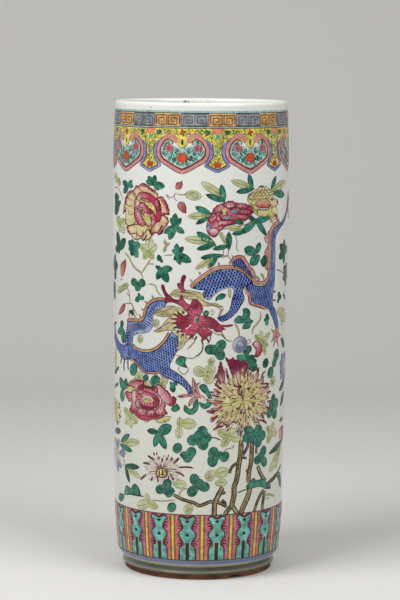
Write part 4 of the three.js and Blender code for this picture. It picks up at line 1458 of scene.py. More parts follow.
dragon.paint("b " + " / b ".join((BODY_TAIL, BODY_ARCH, BODY_FRONT, BODY_SHOULDER)) + """
/ b -108,299 -118,298 -128,299 -138,304 -146,312 -151,323 -157,321 -155,307 -148,296 -140,290 -132,286.4
-125,283 -119,278.6 -112,279.4 -105,282 / b2.4 -122,284 -126,277 -128,272 /
b2.6 -115,281 -118,272 -117,264 / b2.4 -107,283 -108,275 -107,266 /
e 5,366 11,362.5 17,368 24,373.5 32,377 41,377.5 44,373 48,377 44,381.5 34,381.5 24,378.5 15,373.5 9,369 /
e 99,385 100,400 101,420 101,436 104,446 106,445 104,434 104,418 103.5,400 103,388 /
e -50,357.5 -59,354 -66,345.5 -70.5,337 -78,331 -90,327.5 -102,327 -109,320 -110.5,308 -112,300 -97,299
 -98,306 -95,312 -85,315.5 -72,318 -65,323 -61,331 -62,340 -58,347 -47,352.5
""", top=0.22, rise=0.006)


def back_edge(text, pink, gold, side=1):
    """The edge of its back: a gold line between dark ones, and a pink band beside it."""
    path = np.array(smooth(points(text)))
    for key, away, width, top in (("p", 0.5 + pink / 2, pink, 0.3), ("k", pink + 0.6, 0.6, 0.304),
                                  ("o", 0, gold, 0.312), ("k", -gold / 2 - 0.2, 0.7, 0.316),
                                  ("k", gold / 2 + 0.1, 0.45, 0.316)):
        dragon.enamels[key][0].stroke(path + across(path) * away * side, width, top, (0.6, 0.6), crown=0.01)


back_edge("""
-11,378 -5,384 2,390 9,395 16,399.5 25,402.3 36,402.8 46,401.8 55,398 60,394.5 66,389.5 72,385 77,381.8
 83,380.2 90,380.6 96,383.6 99.6,389 101,396
""", 3.2, 1.4)
back_edge("101,396 101.6,410 102,436 104.4,446 110,451.5 124,457", 4.6, 1.2)
back_edge("-44,361 -52,361.5 -61,359.5 -69,354 -73.5,346 -76,338 -81,333 -90,331.5 -102,331.5 -109,328",
          2.4, 1.2, -1)
back_edge("-97,300 -93,297 -88,295.3 -80,294 -72,294.2 -64,296 -55,300.7 -46,309 -39,320", 1.6, 1.8)
dragon.paint("""
p2.2 -104,282.5 -96,280.5 -89,276 -82,271 -75,267.5 -66,267.5 -57,268 -53,270 -53,273 /
k.6 -104,280.6 -96,278.6 -89,274 -82,269.2 -75,265.8 -66,265.8 -56,266.2 -51.6,269 -52,273 /
p1.6 -92,281 -88,284.5 -82,290 / p4 37,407 41,412.5 47,416 54,415.5 60,408.5 66,400.5 71,396.5 74,391 /
k.6 36,409 40.5,415 47,418.6 55,418 62,410.5 67.5,403 73,398 76,391 /
p3.4 59,379 61,374 66,369 66.8,361.5 69,357 77,354.3 85,351.8 92,349.4 98,347 /
k.7 57.6,377 59,371.5 63.5,367 64.5,361 67,355.5 77,352 85,349.6 92,347.4 /
k.6 61,376 65.5,370 68.5,367 69,361.5 / p2.2 -52,267 -46,263 -40,260 /
p 93.5,398 97,400 97.5,408 96,414 92.5,408 90,404 / p 94,414 98,416 98,424 96.5,430 92.5,424.5 89.5,421 /
p 93.5,432 98,434 99,442 97.5,448 93,443 88.5,440 / m3 82,385 79,389 75,391 / m3 90,385.5 88,390 84,394 /
p3 76,386 72,390 69,391
""", top=0.296, rise=0.001)
fins("p", """
-10,386,130 0,395,110 12,403,120 24,407,110 38,408,95 99,444,140 -62,363,120 -72,356,150 -77,347,170
 -82,337,130 -92,336,110 -104,336,120 43,416,130 56,415,50 68,399,50
""", 4.5, 0.33)
fins("k", """
110,368,20 110,358,-10 -124,284,-150 -117,282,-70 -111,284,-45 -105,283,-40 -30,343,150 -33,338,180
 -32,333,190 -30,328,200 -26,323,215 -20,320,230 -11,317,250 -4,317,250 3,313,270 9,314,300 28,327,-20
 -20,345,120 -26,345,130
""", 5.5, 0.41)
ladder("102,388 102,420 103,436 107,446 118,452 130,457", "112,388 113,420 113,432 115,440 122,446 134,453",
       30, 0.8, (0.1, 0.62))
ladder("100,347 106,340 113,328 120,320", "109,352 116,345 122,333 125,323", 12, 0.9, (0.08, 0.7))
ladder("-48,357 -60,355 -68,346 -73,335 -80,330 -100,327.5 -110,320 -113,306 -110,298",
       "-47,353 -57,348 -61,340 -61,331 -68,321 -85,316 -97,312 -99,304 -97,300", 25, 1.5, (0.04, 0.72))
ladder("-114,298 -126,299 -140,305 -156,309", "-112,286 -124,285 -138,291 -156,301", 11, 1.3)
front, arch, tail, shoulder = (
    smooth(points(text), True) for text in (BODY_FRONT, BODY_ARCH, BODY_TAIL, BODY_SHOULDER))
lay_scales("dragon_arch_scales", scale_rows(arch, 4.4, 12, 1.0, (-10, 70, 364, 402)), 1.9)
lay_scales("dragon_small_scales", np.concatenate([
    scale_rows(front, 3.9, 38, 1.0, (-110, -8, 240, 316)), scale_rows(arch, 3.7, 55, 0.9, (20, 60, 334, 364)),
    scale_rows(tail, 3.7, 20, 1.0, (58, 106, 346, 384)), scale_rows(shoulder, 3.1, -35, 0.8)]), 1.55)

dragon.paint("""
m *-39,368.5 -34,374 -27,376.5 -18,375.5 -9,374.5 0,372.5 5,367 3,361 -4,364 -12,363 -20,365 -30,366 |
 6,364 -38,370 /
m -3,368 4,363 11,359.5 19,359 *30,354 24,353 16,355.5 9,355 3,356 -2,361 | -2,364 28,354 /
m *-63,343 -53,349.5 -42,354.5 -30,354 -18,349 -26,344 -38,341 -50,340 | -20,349 -62,343 /
m *-62,320.5 -52,326 -45,334 -38,341 -29,342 -28,332 -33,324 -44,322.5 -54,320 | -30,338 -60,321 /
m -37,323 -29,324 -18,322 *-11,317 -14,312 *-18,308 -21,303 *-28,297.5 -29,303 -27,310 -30,317 | -22,322
-27,298 / m.8 -30,292 -20,290 -10,288.5 -6,290 / m1.2 -12,316 -6,312 -10,306 -16,300 /
k.6 -60,321.5 -50,328 -43,336 -34,341 / k.6 -60,343.5 -48,347 -36,350 -22,349 /
k.5 -36,369 -26,372 -14,371 -2,369 / k.5 -34,326 -38,331 -42,333 / k.5 -56,322 -46,329 -38,334 /
k.5 -58,345.4 -46,349.6 -36,352 -26,351 / k.5 -56,341.6 -46,343.6 -36,344.6 /
k.5 -30,374 -20,372.4 -8,371.6 / k.5 -36,371 -26,367.6 -14,367 / k.5 -28,325 -27,317 -28,306 /
k.5 -22,323 -20,314 -23,306 / w.8 -52,347 -42,350.6 -32,350 / w.7 -50,326 -42,334 -36,337 /
w.7 -30,370.4 -18,369.6 -6,368.6 / k.5 -24,319 -23,312 -26,304 / k.5 -18,318 -17,313 /
k.5 4,361 12,357.5 22,356
""", top=0.3, rise=0.008)
dragon.paint("""
h -47,381 -50.5,380 -50,376 -47.5,370 -45,365.5 -46,361.5 -43,358.5 -37,359 -30,357.5 -22,353 -17,348
 -10,346 -8,354 -13,357 -17,359 -20,363 *-23.5,371 -25.5,366 -26,363 -33,363.5 -37,366.5 -41,369.5 -44,373
 | -12,350 -48,376 /
h *-22,372 -26,376 -29,380 -28.5,384 -25.5,383.5 -24,390 -22.5,393.5 -19,394.5 -17.5,392 -19,388 -20.5,383
 -20,377 *-17,374.5 | -20,374 -20,394 /
h *-30,343 *-25,345.5 *-20,342.5 -14,345 -8,342 -1,342 1,334 -1,326 -5,320 *-10,313.5 *-11,318 *-17,317.5
 *-18,321 *-26,321.5 *-23,325 *-32,327 *-28,330 *-35,333 *-29,335.5 *-36,338.5 *-29,340 | 0,330 -32,334 /
h -12,357 -10,362.5 -6,364 -1,361 3,356 3.8,350 1,345 -3,341.5 -8,340.5 -12,343 -17,348 | -2,346 -8,362 /
h 0,330 6,329 12,326 16,322 *14,317 *11,317 *8,313.5 *4,311.5 *2,316 -2,320 -3,325 | 4,328 4,312 /
h -2,343 4,342.5 10,342.5 17,340 22,336 26,331.5 *31,327 *28,322.5 22,322 16,325 9,328.5 3,327.5 -2,331 |
0,336 28,327 / w@3.9 -3.5,338 / k@3.6 -3.4,337.8 / k@3.7 7.5,346 / g@3 -3.4,337.8 / g@3.1 7.5,346 /
k@1 -3.2,337.4 / k@1 7.6,345.8 / q.9 14,349.5 17,348 16.5,344.5 13.5,344.5 /
w1.4 11.5,346 13.5,350 17.5,349.5 17.5,346 14,345 / w1.6 -18,325.5 -14,328 -11,331.5 /
w1.3 13,324.3 15.5,325.3 18,325 / h2.6 25,331 33,329.5 43,330.5 /
k.8 16,322.5 23,319 28,318 33,313 38,310.3 42,310 / k1 27,322 29,319.5 33,313 /
k1.4 2,314 4,307 3.5,300 0,294.5 -7,289.5 / k1.2 14,317 12.5,311 10,307.5 / k.6 -13,332 -18,336 -24,334 /
k.6 -8,331 -12,337 -10,340 / k.6 2,336 10,335 18,331 / k.6 -9,322 -3,327 4,331 /
k.5 -2,349 -6,353 -6,358 / k.5 1,352 -3,355 -5,360 / k.6 -30,360 -22,357 -14,352 /
p.8 -44,364 -36,361.5 -28,359.6 / p.7 -22,355 -15,350.5 -8,349 / p.8 -6,360 0,356 1.4,350 /
p.7 4,340.6 12,338.6 19,335 / p.7 -3,326 3,324 8,319 / p.6 -22,333 -16,330 -12,327 /
p.7 -25,338 -18,339 -12,336 / k.7 -27,341 -20,338 -14,339 / k.7 -30,330 -22,329 /
k.8 4,333 12,330.6 20,327 / k.7 5,317 9,320 14,320.6 / k.7 -16,322 -8,324 -3,321 /
k.6 0,329 4,325.6 10,325 / p.7 -47.4,377 -45,370 / p.7 -27,383 -24,378 -21,391 /
k.6 -40,366 -34,362.6 -26,361.4 / k.7 -12,349 -6,344 -2,345 / p.9 6,318 8,316 5,315 /
p1.5 24,352 27,350 25,345 24,340 / p1.6 30,352 27,348 25,343 / k.5 5,341 12,340 18,336
""", top=0.34, rise=0.004)
dragon.paint("""
p *-9,264.5 -8.8,259 -8.4,252 -3.6,251 -4.6,257 -6.4,262 /
p -8.6,253 -3.4,252 0,245 2,240 -2,238 -6,240.4 -8.6,246 /
p -8,243 -16,242.8 -23,242 *-28.6,239.6 -23,237.4 -16,239.6 -9,240 /
p *-6.4,240 -10.6,237 -14,231 *-13,226.4 -9.6,231 -3.6,238 /
p 0,242 4.6,241.4 *8.4,238.6 4.4,237.6 0,238.4 / p *-6,258 -2,256.5 1.5,259.5 *-1.4,254.6 -4.6,254 /
h@1.6 -5.3,248 / k.5 -9.2,262 -8.9,252 -9,246 -7,241 / k.5 -3.4,256 -1,247 1.6,242 /
k.5 -10,240.6 -18,240.8 -25,239.8 / k.5 -7,238 -11,234 -12.6,229 / h1.2 -20,239.8 -27,239 /
h1.2 -12.4,230.6 -13,227 / k.7 -6.5,262 -6,254 -4,247 -1,241 / w 1,236.5 5,238.5 6.5,236 2,233.5 /
w -14,226 -9,229 -8,225.5 -12,224 /
p 114,318 *106,321 112,313 *107,304 115,307 *111,297 119,304 *126,296 124,307 *133,310 126,315 124,322
118,321 | 120,312 108,304 / h1.6 116,312 122,308 /
h 152,474 158,480 165,482 *176,487 169,478 *179,471 168,470 *171,459 162,465 156,470 | 154,474 175,474 /
h 152,476 154,484 *161,495 162,485 159,478 | 154,476 161,494 /
p 156,475 162,477.4 *170,475 163,472 157,472
""", top=0.3, rise=0.01)
# The two pearls that it chases, and a green bat-like scroll under its claws
flowers.paint("""
b 42.6,303 43.4,309 47,313.6 53,315.4 59,313.6 63,309 63.6,303 61,298 55,294.6 48,295.4 44,298.6 | 46,310
62,300 / b 48,304 50,309 55,309.4 57,304.6 54,301 50,301 | 54,306 49,301 /
n.7 44,310 49,314.6 57,314.6 62,310 63.4,304 / n.6 46,303 50,299 56,298 / n.6 58,309 60,304 58,300 /
n.6 64,309 67,311.6 69,308.6 66,306 63.6,306
""", top=0.3, rise=0.01)
flowers.paint("q *71,304 75,308 80,308.5 86,304 89,299 87,291 80,287 76,289 78,293 77,298 74,301"
              " | 73,304 88,294", top=0.24)
leaves.paint("""
g *-1,252 2,255.5 8,255.5 12,249 15,243 17,236 16,229.5 12,225.5 6,224 1,228 0,233 6,231 10,233 11,238
 8,243 4,246 /
g *-2,238 -5,235 -8,230 -8,226 -13,224 -16,228 -19,229 -20,222 -15,217.5 -9,216.5 -3,221 -0.5,229 /
g 44,336 47,340 51,342.5 55,341 57,345 56,350 61,351.5 66,349 68,344 67,338 73,334 69,331 68,326 63,324.5
56,325 57,329 58,332 52,332 47,333 / v.6 49,338 58,337 64,344 / v.6 58,337 65,330 /
g<.9 97,334 97,342 97,326 91,334 102,336 / g@7 14,300 20,299.5 27,305 26,293.5 /
g -31,283 -28,289 -22,291.5 -17,288 -18,282 -15,276.5 -20,277 -26,279 /
g<.62 62,284 48,291 62,299 81,271 76,289 54,273 / g@5 66,298 / g<.7 72,284 66,290 80,282 70,278 76,290 /
l@7 0,272 13,273.5 11.5,263.5 / l@4.5 15,285 / l@4 8,268 / g@7.8 -96,268.5 / g@4.8 -74,259.5 /
g@7.6 -59,257 / l@5.5 -84,262 / l@5.6 -47,258 / l@4 -71,253 / g<.8 -36,254 -28,256 -33,244 -38,258 /
g -37,223 -33,227 -29,230 -26,227 -24.5,224 -29,220 -33,219.5 -36,221 / g<.7 -119,240 -131,254 /
g<.7 -117,241 -111,255 / g<.9 -123,238 -124,223 / l<.3 -150,262 -147,293 /
d<.5 -143,262 -156,256 -134,267 / d<.45 -146,242 -157,238 -136,245 / g@7 107,265 / g@6 116,277 /
g@7.5 121,286 / d@6 96,278 / l 121,342 127,347 138,345 150,341 157,332 150,325 138,329 127,335 /
t1.6 116,397 128,394 142,389 / k1 131,329 137,328 135,323.4 131,324.4 /
d<.8 126,358 120,354 133,362 124,368 / d<.8 144,360 140,364 150,356 /
d<.7 149,388 137,382 140,400 156,403 165,386 152,372 / l@5 -83,309 / l@4.8 -58,331 /
g<.6 21,365 33,369.5 20,361 / l 36,376 40,375 39,365 36,368 / t.9 26,289 30,300 22,300 /
t2 84,345 85,337 79,330 73,325 71,317 / t2.4 45,333 50,325 52,315 /
t.9 -25,279 -27,274 -20,268 -14,274 -17,279 / t.7 64,276 68,280 73,282 / t.8 -90,262 -94,257 -90,254 /
g<.6 -50,400 -35,402 -41,384 -57,387 -59,404 / g<1 -52,411 -55,418 -48,410 / g@5.6 -94,381 -80,381 /
g@6 -87,376 / g<.8 -84,362 -92,357 -76,362 -86,368 / d<1 -100,341 -105,343 -95,339 -97,345 /
g -138,312 -131,319 -124,321 -118,318 -120,312 -129,310 / d@5 -123,324 / g<.8 -118,316 -120,299 /
d -161,397 -154,408 -147,413 -144,406 -138,402 -136,397 -144,390 -152,389 / d@6 -148,385 /
d -162,366 -156,376 -148,375 -146,364 -149,354 -157,355 / l<.5 -121,371 -137,365 -106,377 /
k.6 -134,366 -122,374 -108,376 / k.6 -134,365 -121,367 -108,375 /
o -126,400 -122,404 -116,407 -113,409 -111,405 -112,398 -116,390 -120,386 -125,387 -126,393 | -124,388
 -113,408 /
o -133,336 -130,341 -124,347 -118,351 -114,352 -113,349 -117,342 -124,338 -130,335.5 | -132,336 -115,351 /
k3 -154,320 -147,323 -141,324 / t2.4 -115,418 -104,411 -97,403 -90,398 -82,394 -78,386 /
t1.6 -80,394 -74,402 -70,406 / t1 -71,406 -66,412 / t1 -71,406 -60,406.5 /
t.8 -124,384 -125,381 -121,382.5 / t1 -109,373 -104,366 -102,353 / t1 -110,366 -104,362 /
t1.2 -113,352 -100,353 -95,347 -88,339 / t1 -97,349 -94,340 -90,336 /
l1.6 -70,380.5 -60,379.5 -56,372 -50,366
""", top=0.19, rise=0.002)
# Lower rose peony
flowers.paint("""
k -78,246 -82,252 -72,250 -64,250 -56,249.5 -55,242 -62,239 -70,242 | -66,240 -66,252 /
q -60,247 -57,252.5 -50,252.5 -44,247.5 -39,243.5 -36,238.5 -33,239.5 -29.5,236 -31,230 -35,226 -40,227.5
-45,230 -53,236 -59,242 | -54,236 -36,246 / k -33,238 -30,234 -32,229 -37,227 -40,229 -37,231 -35,235 /
q -110,245.5 -105,251 -98,252.5 -92,255 -84,256.5 -77,256 -77,251.5 -84,247 -90,243 -98,246 -104,246 |
-94,242 -94,257 / y -110.5,243 -104,246 -97,245.5 -96,240 -104,237.5 -110,239.5 /
r -113,238.5 -115.5,235.5 -112,230.5 -109,228.5 -105,225.5 -100,229 -98,233.5 -100,238 -106,238.5 |
 -98,236 -114,232 /
q -99,240 -91,242.5 -88,233 -91,226 -88,218 -96,213.5 -104.5,215 -101,222 -99.5,231 | -92,232 -104,216 /
k -105,217 -104,213.5 -97,211 -92,214 -90,219 -97,217 /
r -97,213 -92,209 -86,206.5 -80,205.3 -72,205 -64,207 -58,209 -50,211 -46,215 -54,219 -66,222 -82,222
-92,219 | -74,222 -74,205 / q -92,214 -86,219.5 -78,221.5 -73,216 -76,211 -84,209.5 | -80,222 -84,209 /
q -74,214 -70,219 -63,220 -59,215.5 -62,211 -69,209.5 | -66,221 -66,209 /
k -68,213 -62,216 -56,217 -52,213 -60,210.5 /
r -54,229 -48,230.5 -44,228 -45,222 -41.5,217 -48,213.5 -55,213.5 -59,218 -56,224 | -56,226 -42,216 /
f -52,225 -49,226 -47,221 -50,216.5 -54,217 -55,221 /
q -92,236 -89,243 -87,248 -81,251 -75,248 -66,247 -57,243 -51,238 -49,231 -53,224 -62,219 -74,218 -84,220
-90,227 | -72,230 -72,252 / k -87,243 -84,247 -79,249 -76,246 -79,243.5 /
k -90,236 -86,240 -78,236 -84,230 -89,230 /
r -84,234 -79,241 -71,242.5 -61,240 -53,234.5 -54,228 -62,224 -76,224 -83,227 | -70,232 -66,242 /
k -87,228 -84,232 -74,230 -62,230 -55,231 -53,228 -58,222.5 -66,219.5 -76,219.5 -83,222 | -72,231 -72,219
/ f -81,232 -76,237 -68,238 -62,234.5 -62,230.5 -68,227.5 -77,227.5 /
k -64,236 -57,235 -52,232 -55,226 -62,226.5 -61,231 /
y -78,230.3 -75,233.3 -68,234 -64,231.5 -68,229 -75,228.3 /
n.8 -88,240.5 -80,243.5 -72,242.5 -60,240 -52,235 / n.7 -90,238 -86,245 -79,249.5 /
n.6 -77,231 -71,231.8 -65,231.5 / n.7 -98,240 -104,237.8 -110,238.5 /
n.8 -100,239 -99,229 -100,221 -105,216 / n.8 -92,241 -91,232 -93,224 -90,219 /
n.8 -104,215 -96,212 -91,209 -84,206 -74,205 -64,207 /
n.7 -88,219 -82,221.5 -78,216 -70,216 -66,220 -60,217 / n.6 -58,218 -55,222 -53,228 /
n.6 -63,212 -58,214 -50,213.5 / n.8 -77,251.5 -77,247.5 -66,248.5 -57,248 / n.7 -52,251 -44,246 -38,240 /
y -60,208 -55,204 -47,204.5 -40,208 -38,213 -46,212 -53,209 | -60,208 -38,212 /
y -77,204.5 -73,205.5 -69,204.5 -73,202.6 / y1.8 -107,249 -99,254 -92,256.8 -84,258 /
y1.6 -57,254 -50,254.4 -43,249.6
""", top=0.24, rise=0.0052)
# Large chrysanthemum: magenta petals behind, then rings of pale ones, then the hooked tips in brown
flowers.paint("""
x 27,285 30,277 33,268 32,256 26,256 23,266 24,276 | 30,252 27,286 / x3 34,276 36,268 39,260 /
x 33,289 37,288 *38,285.5 43,289 *45,285.5 51,286 *53,283 57,284 *58,280 54,272 52,262 49,254 44,262
40,272 37,280 | 51,254 42,290 / x2.2 43,290 45,286 47,281 / x2 24,272 21,266 19,262 /
x2 25,262 22,257 20,253 / x 53,281 58,285 *62,282 66,278 63,270 57,264 53,270 | 57,258 64,284 /
p 51,262 52,270 56,276 61,279 63,275 58,266 54,260 | 54,260 60,280
""", top=0.24, rise=0.004)
rays("fmm", 59, 232, 29, 22, 48, 6.2, 160, 0.25, tip=0.42)
rays("m", 59, 233, 27, 11, 42, 6.4, 4, 0.28, tip=0.28)
rays("m", 59, 233, 21, 6, 32, 6.2, 11, 0.33, tip=0.24)
rays("m", 58, 234, 11, 1, 21, 7.0, 3, 0.38, tip=0.28)
flowers.paint("""
k2.2 20,268 24,262 28,255 / k2.2 20,257 25,252 30,249 / k2.2 21,247 25,245 28,244 /
k2.2 16,242 21,240.5 26,239 / r3.6 18,230 24,232.5 30,232 / k3.6 9.5,221.5 15,220.5 20,221.5 /
r3 20,222 26,225 30,228 / k3 14.5,208 18,209.5 21,213 24.5,216 / k2.6 18,197 24,200 32,202 /
r2.6 22,201 27,205 31,208 / k2.4 31,206 34,203.5 37,203 / k1.8 34,215 38,218 / n2 73,268 76,276 /
n2 80,268 84,274 / n2.2 88,260 92,266 96,267 / n2 78,254 83,260 / k2.4 88,252 96,251.5 104,250.5 /
r2.4 92,246 98,247 103,250 / n2.2 99,238.5 104,240 108,239.5 / n2.2 101,227 105,228 109,227 /
n2 98,221 103,219 107,219.5 / r2.4 90,214 97,213 102,211.5 / n1.6 92,206 98,202 101,199 /
k2 84,206 92,204 99,200 / n1.4 88,213 92,210 96,210 / k3.4 52,241 52,247 54,252 57,250 /
n2.2 45,253 49,251.5 53,252 50,256 / k2.6 50,243 55,241 57,247 / b2.4 55,219.5 57,222 57,218 /
n2.4 54,216.5 56,219 58,222 / n2 64,248 67,247 69,250 / n2 70,243.5 74,242 / n1.8 69,235 73,235.5 78,238 /
n2.6 72,229.5 75,227 78,229.5 / n2 66,224.5 69,221 73,221 / n2 48,225 51,222.5 53,225 /
n1.6 42,238 45,236 50,236 / n1.8 61,254 62,258 / n1.8 65,262 66,267 / n1.8 60,215 62,218 63,221 /
n1.8 52,242 58,239 61,239 / n1.4 44,242 41,240 / n1.6 42,205 46,207 49,204 / n1.6 66,201 68,204 /
n1.6 77,203 82,203.5 / n1.4 43,231 48,233 / n1.4 56,238 58,236 60,237 / b4 51,189 54,193 53,197 /
r2.6 56,186 57,191 59,195
""", top=0.435, rise=0.001)
# Small red chrysanthemum, and the flowers that the limb cuts off
rays("a", -49, 143, 23, 6, 26, 3.6, 0, 0.25, 0.75)
rays("bab", -144, 152, 11, 3, 29, 12, 12, 0.24, 0.8)
rays("wm", -150, 208, 13, 4, 22, 9, 5, 0.24, 0.8)
rays("b", 154, 268, 11, 4, 24, 11, 0, 0.24, 0.85)
flowers.paint("""
k 143,188 150,190 160,186 162,176 154,170 146,173 142,180 / r 146,184 153,186 158,180 150,175 /
f 136,186 141,188 143,180 141,173 137,176 / k2.6 -73,135 -79,131 -84,127 /
k2.8 -67,149 -73,149.6 -79,149.4 / k2.8 -60,155 -66,157.5 -71,160 / n2 -60,161 -62,165 /
n1.8 -57,162 -57,166 / k2.2 -56,156 -53,160 / k2.2 -50,152.5 -48,159 / n1.6 -46.5,160 -47,162.5 /
k2.2 -43,156 -41,160 / n1.6 -40.5,160.5 -40,164 / k2 -37,156 -34,160.5 /
k3 -33.5,152.5 -29,157 -25.5,160.5 / k2 -27,148 -16,149 -7,148.3 / k2.2 -31,142.5 -25,141 -18.5,137 /
k2.2 -37.5,139 -35,135 -32.5,131 / n2.4 -63,133 -66,127.5 / n2.2 -56,135 -55,127 /
n1.8 -40.5,137 -39.5,131.5 / n -59,139 -55,145 -47,146 -41,141.4 -43,135 -50,133 -57,134.4 /
y -58,139 -54,144 -47,145 -42,141 -44,136 -50,134 -56,135 /
n@1.1 -54,140 -50,138 -46,141 -49,142.4 -46,137.4 / n.7 -45,147 -53,147.5 -60,146 /
n.6 -48,145 -56,150 -60,152 / n.6 -57,141 -64,140 -67,137 / n.6 -44,146 -46,153 /
n.6 -40,146 -33,145 -29,146 / n.6 -42,143 -36,142 -32,141 / k2 -122,146.5 -119,146 /
k3 -134,158 -130,155 / n3 -136,218.5 -132,219 / n2 -139,214 -133,215 / n3 -135,204.5 -128,202 /
y@4 -144,151 / y@5 -154,212 / y@5 154,268 / n2.4 -140,190 -142,196
""", top=0.31, rise=0.002)
# Trunks, with their knots, and the lower leaves over them, the lime ones behind
leaves.paint("""
q4.62 -33,112.5 -28,110 -22,107.3 -14,105 -6,103 1,99.5 8,101.5 15,104.3 22,104 /
q7.07 21,85 21,96 22,104 25,110 28,116 32,122.5 / q4.62 24,104 31,101 38,97 / q3.81 31,106.5 37,101 /
q3.81 30,114 36,116 / q4.08 53,153 47,150.5 43,146 41,140 / q6.26 35,87 40,93 45,98 /
q6.26 53,87 49,93 45,98 / q7.62 44,95 46,103 48,112 48,122 51,130 53,140 54,150 56,160 57,170 57,182 /
q4.35 57,160 62,165 67,173 68,180 / q3.26 60,159 66,158 / q8.16 58,86 62,95 67,104 71,113 72,122 /
q7.34 70,126 70,138 72.5,148 74,160 74,178 / q4.08 66,143 71,137 / q4.9 80,87 85,98 91,107 98,113 /
q5.71 95,88 97,100 100,112 / q5.98 85,146 89,138 95,130 102,124 / q4.08 82,171 82,162 /
q3.54 104,120 115,124 126,128 136,131 148,138 / q3.54 110,121 122,123.5 132,127 141,120 150,112
""", top=0.19, rise=0.001)
leaves.paint("""
k1 20,88 19.4,92 20.4,99 / k1.1 23.4,111 27,117 / k1.2 45.4,101 47.2,107 45.8,114 47.4,124 /
k1 53,127 51.4,133 53.4,138 / k1.2 52,143 54.6,150 53.8,156 / k1.5 57,165 56,171 / k1.3 70,107 72,103 /
k1.2 60,90 63,96 66,102 / k1 72,141 71,146 73.4,152 / k1.4 72,166 76,163 / k1.3 87,139 90,135 92,130 /
k1.2 83,94 87,99 89,104 / k1 96,94 98,106 / k1.5 88,107 91,106 / k1.2 48,127 51,134 /
k1 -22,107.6 -14,104.4 -8,103.6 / k1 0,99.8 8,102 14,105 / k@1.1 20,93 47,104 66,101 57,176 53,146 /
k@.9 74,170 71.6,128 97,98 39,91.5 93,131 / k1 75,176 73,168 75,160 / k1.2 68,178 64.4,169 60.6,163 /
k.9 49,151.6 45,147.6 41,141 / k1 84,169 82.4,163 / k.9 116,123.6 127,127.4 137,130.6 /
k1 27,102.4 32,99.6 37,97
""", top=0.27, rise=0.0005)
leaves.paint("""
l<.6 -104,205 -118,216 -116,196 -101,192 -88,201 -98,218 / l<.6 -25,200 -25,213 -27,185 -30,193 /
l<.75 -22,205 -3.5,205 / l<.62 40,188 24,196 30,175 42,201 56,197 57,183 / l<.7 -32,126 -16,127 /
l@6.6 15,138 / l<.75 22,140 40,144 / l<.7 23,128 38,129 / l<.6 -70,98 -90,92 -74,111 -55,94 /
l@6.2 -13,95 / l<.62 112,187 100,195 103,173 118,199 129,183 / l@6.2 113,253 /
l<.42 90,306 75,316 104,317 95,289 85,321 101,300 / l<.29 -118,170 -85,176 / l<.3 -110,138 -84,130 /
l3 100,106 112,105 126,100.5 / l2 101,101 112,100.5 / g<.45 -54,191 -43.5,170.5 -61,172 /
g<.66 -54,191 -35.6,201.5 / d<.5 -56,192 -72,192 / g@6.4 -45,196 / d1.3 13,187 20,187 29,183.5 /
g@7.6 4,194 -7,184 8,187 5,179.5 1,188 / g@6.4 -28,173 / g@6.8 -14,162 -10,168 / g<.8 -13,164 -25,165 /
g@7.4 19,167 18,157.5 / g@6.4 34,162 / g@5 27,164 / t.9 32,169 38,172 46,173 / t.6 46,173 43,177 /
t.6 46,173 47,178 / g@7 -5,133 0,127 7,124 -8,118 / g@6.4 -52,118 -42,126 -44,118 / g<.8 -44,118 -31,117 /
g@5.4 -39,114 / g@6.2 -35.5,96 / g@7.4 69,193 67,185 76,184 84,192 91,185 84,178 /
g@6.4 95,164 85,154 97,150 91,157 /
g 66,121 69,125 73,127 78,131.5 82,128 88,127.5 94,129 99,127 103,122.5 108,120.5 113,118 113.5,113
 106,113 99,114.5 93,117.5 84,118.5 74,117.5 68,118 /
g -119,104 -118,110 -114,115 -108,114.5 -103,113 -100,117 -95,120 -89,118 -85,113 -83,107 -78,105.5
-92,104.5 -105,104.5 -112,103 / g<.6 -122,99 -140,94 / g@5 -131,97 /
d1.3 -124,101 -110,104.5 -95,106 -78,106 / g<.32 -127,171 -105,183 / g<.27 -129,166 -99,162 /
d<.35 -154,181 -129,184 / d<.27 -114,141 -85,143 / d<.36 -116,139 -106,120 /
g@7.4 122,222 113,222 119,211 / g@5 115,231 / g@6.2 107,212 / d<.22 112,160 152,171 /
d<.3 128,146 144,164 / l<.32 140,161 110,135 119,148 127,137 / d<.45 136,305 152,293 /
d<.5 140,219 156,234 / d<.5 141,240 156,252 / d<.4 138,198 152,200 / d<.5 134,239 150,246 /
d<.5 140,128 152,108 / d1.3 53,114 60,116 68,118 / t1.6 -25,109 -25,114 -22,119 -15,122 /
t.9 -66,103 -50,103 -30,106
""", top=0.25, rise=0.002)
dragon.lay()
leaves.lay()
flowers.lay()


# Studio: a pale floor and backdrop, soft lamps on both sides, and the camera where the photographer's
# stood, a little over the rim and three metres off. None of it belongs to the vase.


def studio_material(name, colour):
    """Plain paper, which takes the vase's shadow."""
    material, _, shader, _ = blank_material(name)
    shader.inputs["Base Color"].default_value = colour
    shader.inputs["Roughness"].default_value = 0.9
    return material


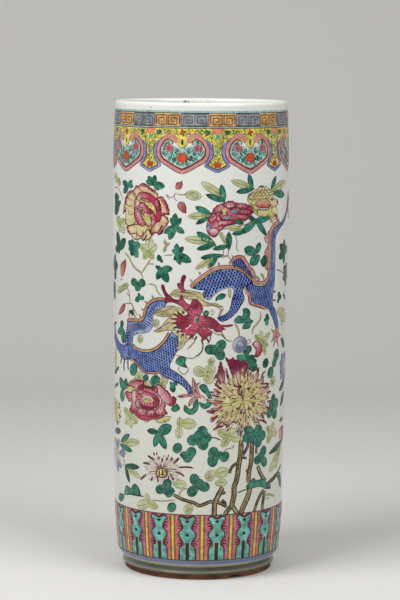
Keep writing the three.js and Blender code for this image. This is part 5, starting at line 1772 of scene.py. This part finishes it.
FLOOR_HALF = 6000.0
SWEEP_START = 1500.0
SWEEP_RADIUS = 900.0
SWEEP_HALF = 1100.0  # the backdrop is no wider than the picture needs
sweep = [(FLOOR_HALF, -FLOOR_HALF, 0.0), (FLOOR_HALF, SWEEP_START, 0.0)]
sweep += [(SWEEP_HALF, SWEEP_START + SWEEP_RADIUS * math.sin(a), SWEEP_RADIUS * (1 - math.cos(a)))
          for a in np.linspace(0.08, math.pi / 2, 18)]
sweep.append((SWEEP_HALF, SWEEP_START + SWEEP_RADIUS, FLOOR_HALF / 2))
sweep_verts = [(x, y, z) for half, y, z in sweep for x in (-half, half)]
backdrop = new_piece("studio_sweep", sweep_verts, [],
                     [(i, i + 1, i + 3, i + 2) for i in range(0, len(sweep_verts) - 2, 2)])
backdrop.data.materials.append(studio_material("studio_paper", srgb(228, 227, 224)))
backdrop.data.polygons.foreach_set("use_smooth", [True] * len(backdrop.data.polygons))

LAMP_TARGET = Vector((0, 0, 0.3))  # what both lamps point at, in metres
LAMP_SIZE = 1.1


def aimed(thing, place, way, roll=0.0):
    """Puts a lamp or a camera at a place, looking along a way, and into the scene."""
    bpy.context.scene.collection.objects.link(thing)
    thing.location = place
    thing.rotation_mode = "QUATERNION"
    thing.rotation_quaternion = way.to_track_quat("-Z", "Y") @ Quaternion((0, 0, 1), roll)


for name, place, power in (("key_softbox", (-1.05, -0.9, 2.1), 33),
                           ("fill_softbox", (0.94, -0.98, 1.97), 18.6)):
    light = bpy.data.lights.new(name, "AREA")
    light.shape = "RECTANGLE"
    light.size, light.size_y = LAMP_SIZE, LAMP_SIZE
    light.energy = power
    aimed(bpy.data.objects.new(name, light), place, LAMP_TARGET - Vector(place))

world = bpy.data.worlds.new("studio")
world.use_nodes = True
world.node_tree.nodes["Background"].inputs["Color"].default_value = (1, 1, 1, 1)
world.node_tree.nodes["Background"].inputs["Strength"].default_value = 0.3
bpy.context.scene.world = world

CAMERA_AWAY = 3.0876  # metres, as fitted to the photograph
CAMERA_HEIGHT = 0.695
CAMERA_PITCH = 0.1112
CAMERA_ROLL = math.radians(0.45)
camera = bpy.data.objects.new("camera", bpy.data.cameras.new("camera"))
camera.data.sensor_width = 36.0
camera.data.lens = 142.78
camera.data.clip_end = 50.0
look = Vector((0.0, math.cos(CAMERA_PITCH), -math.sin(CAMERA_PITCH)))
aimed(camera, (0.0, -CAMERA_AWAY, CAMERA_HEIGHT), look, CAMERA_ROLL)
bpy.context.scene.camera = camera
bpy.context.scene.view_settings.view_transform = "Standard"

bpy.data.objects.remove(wall_ground)
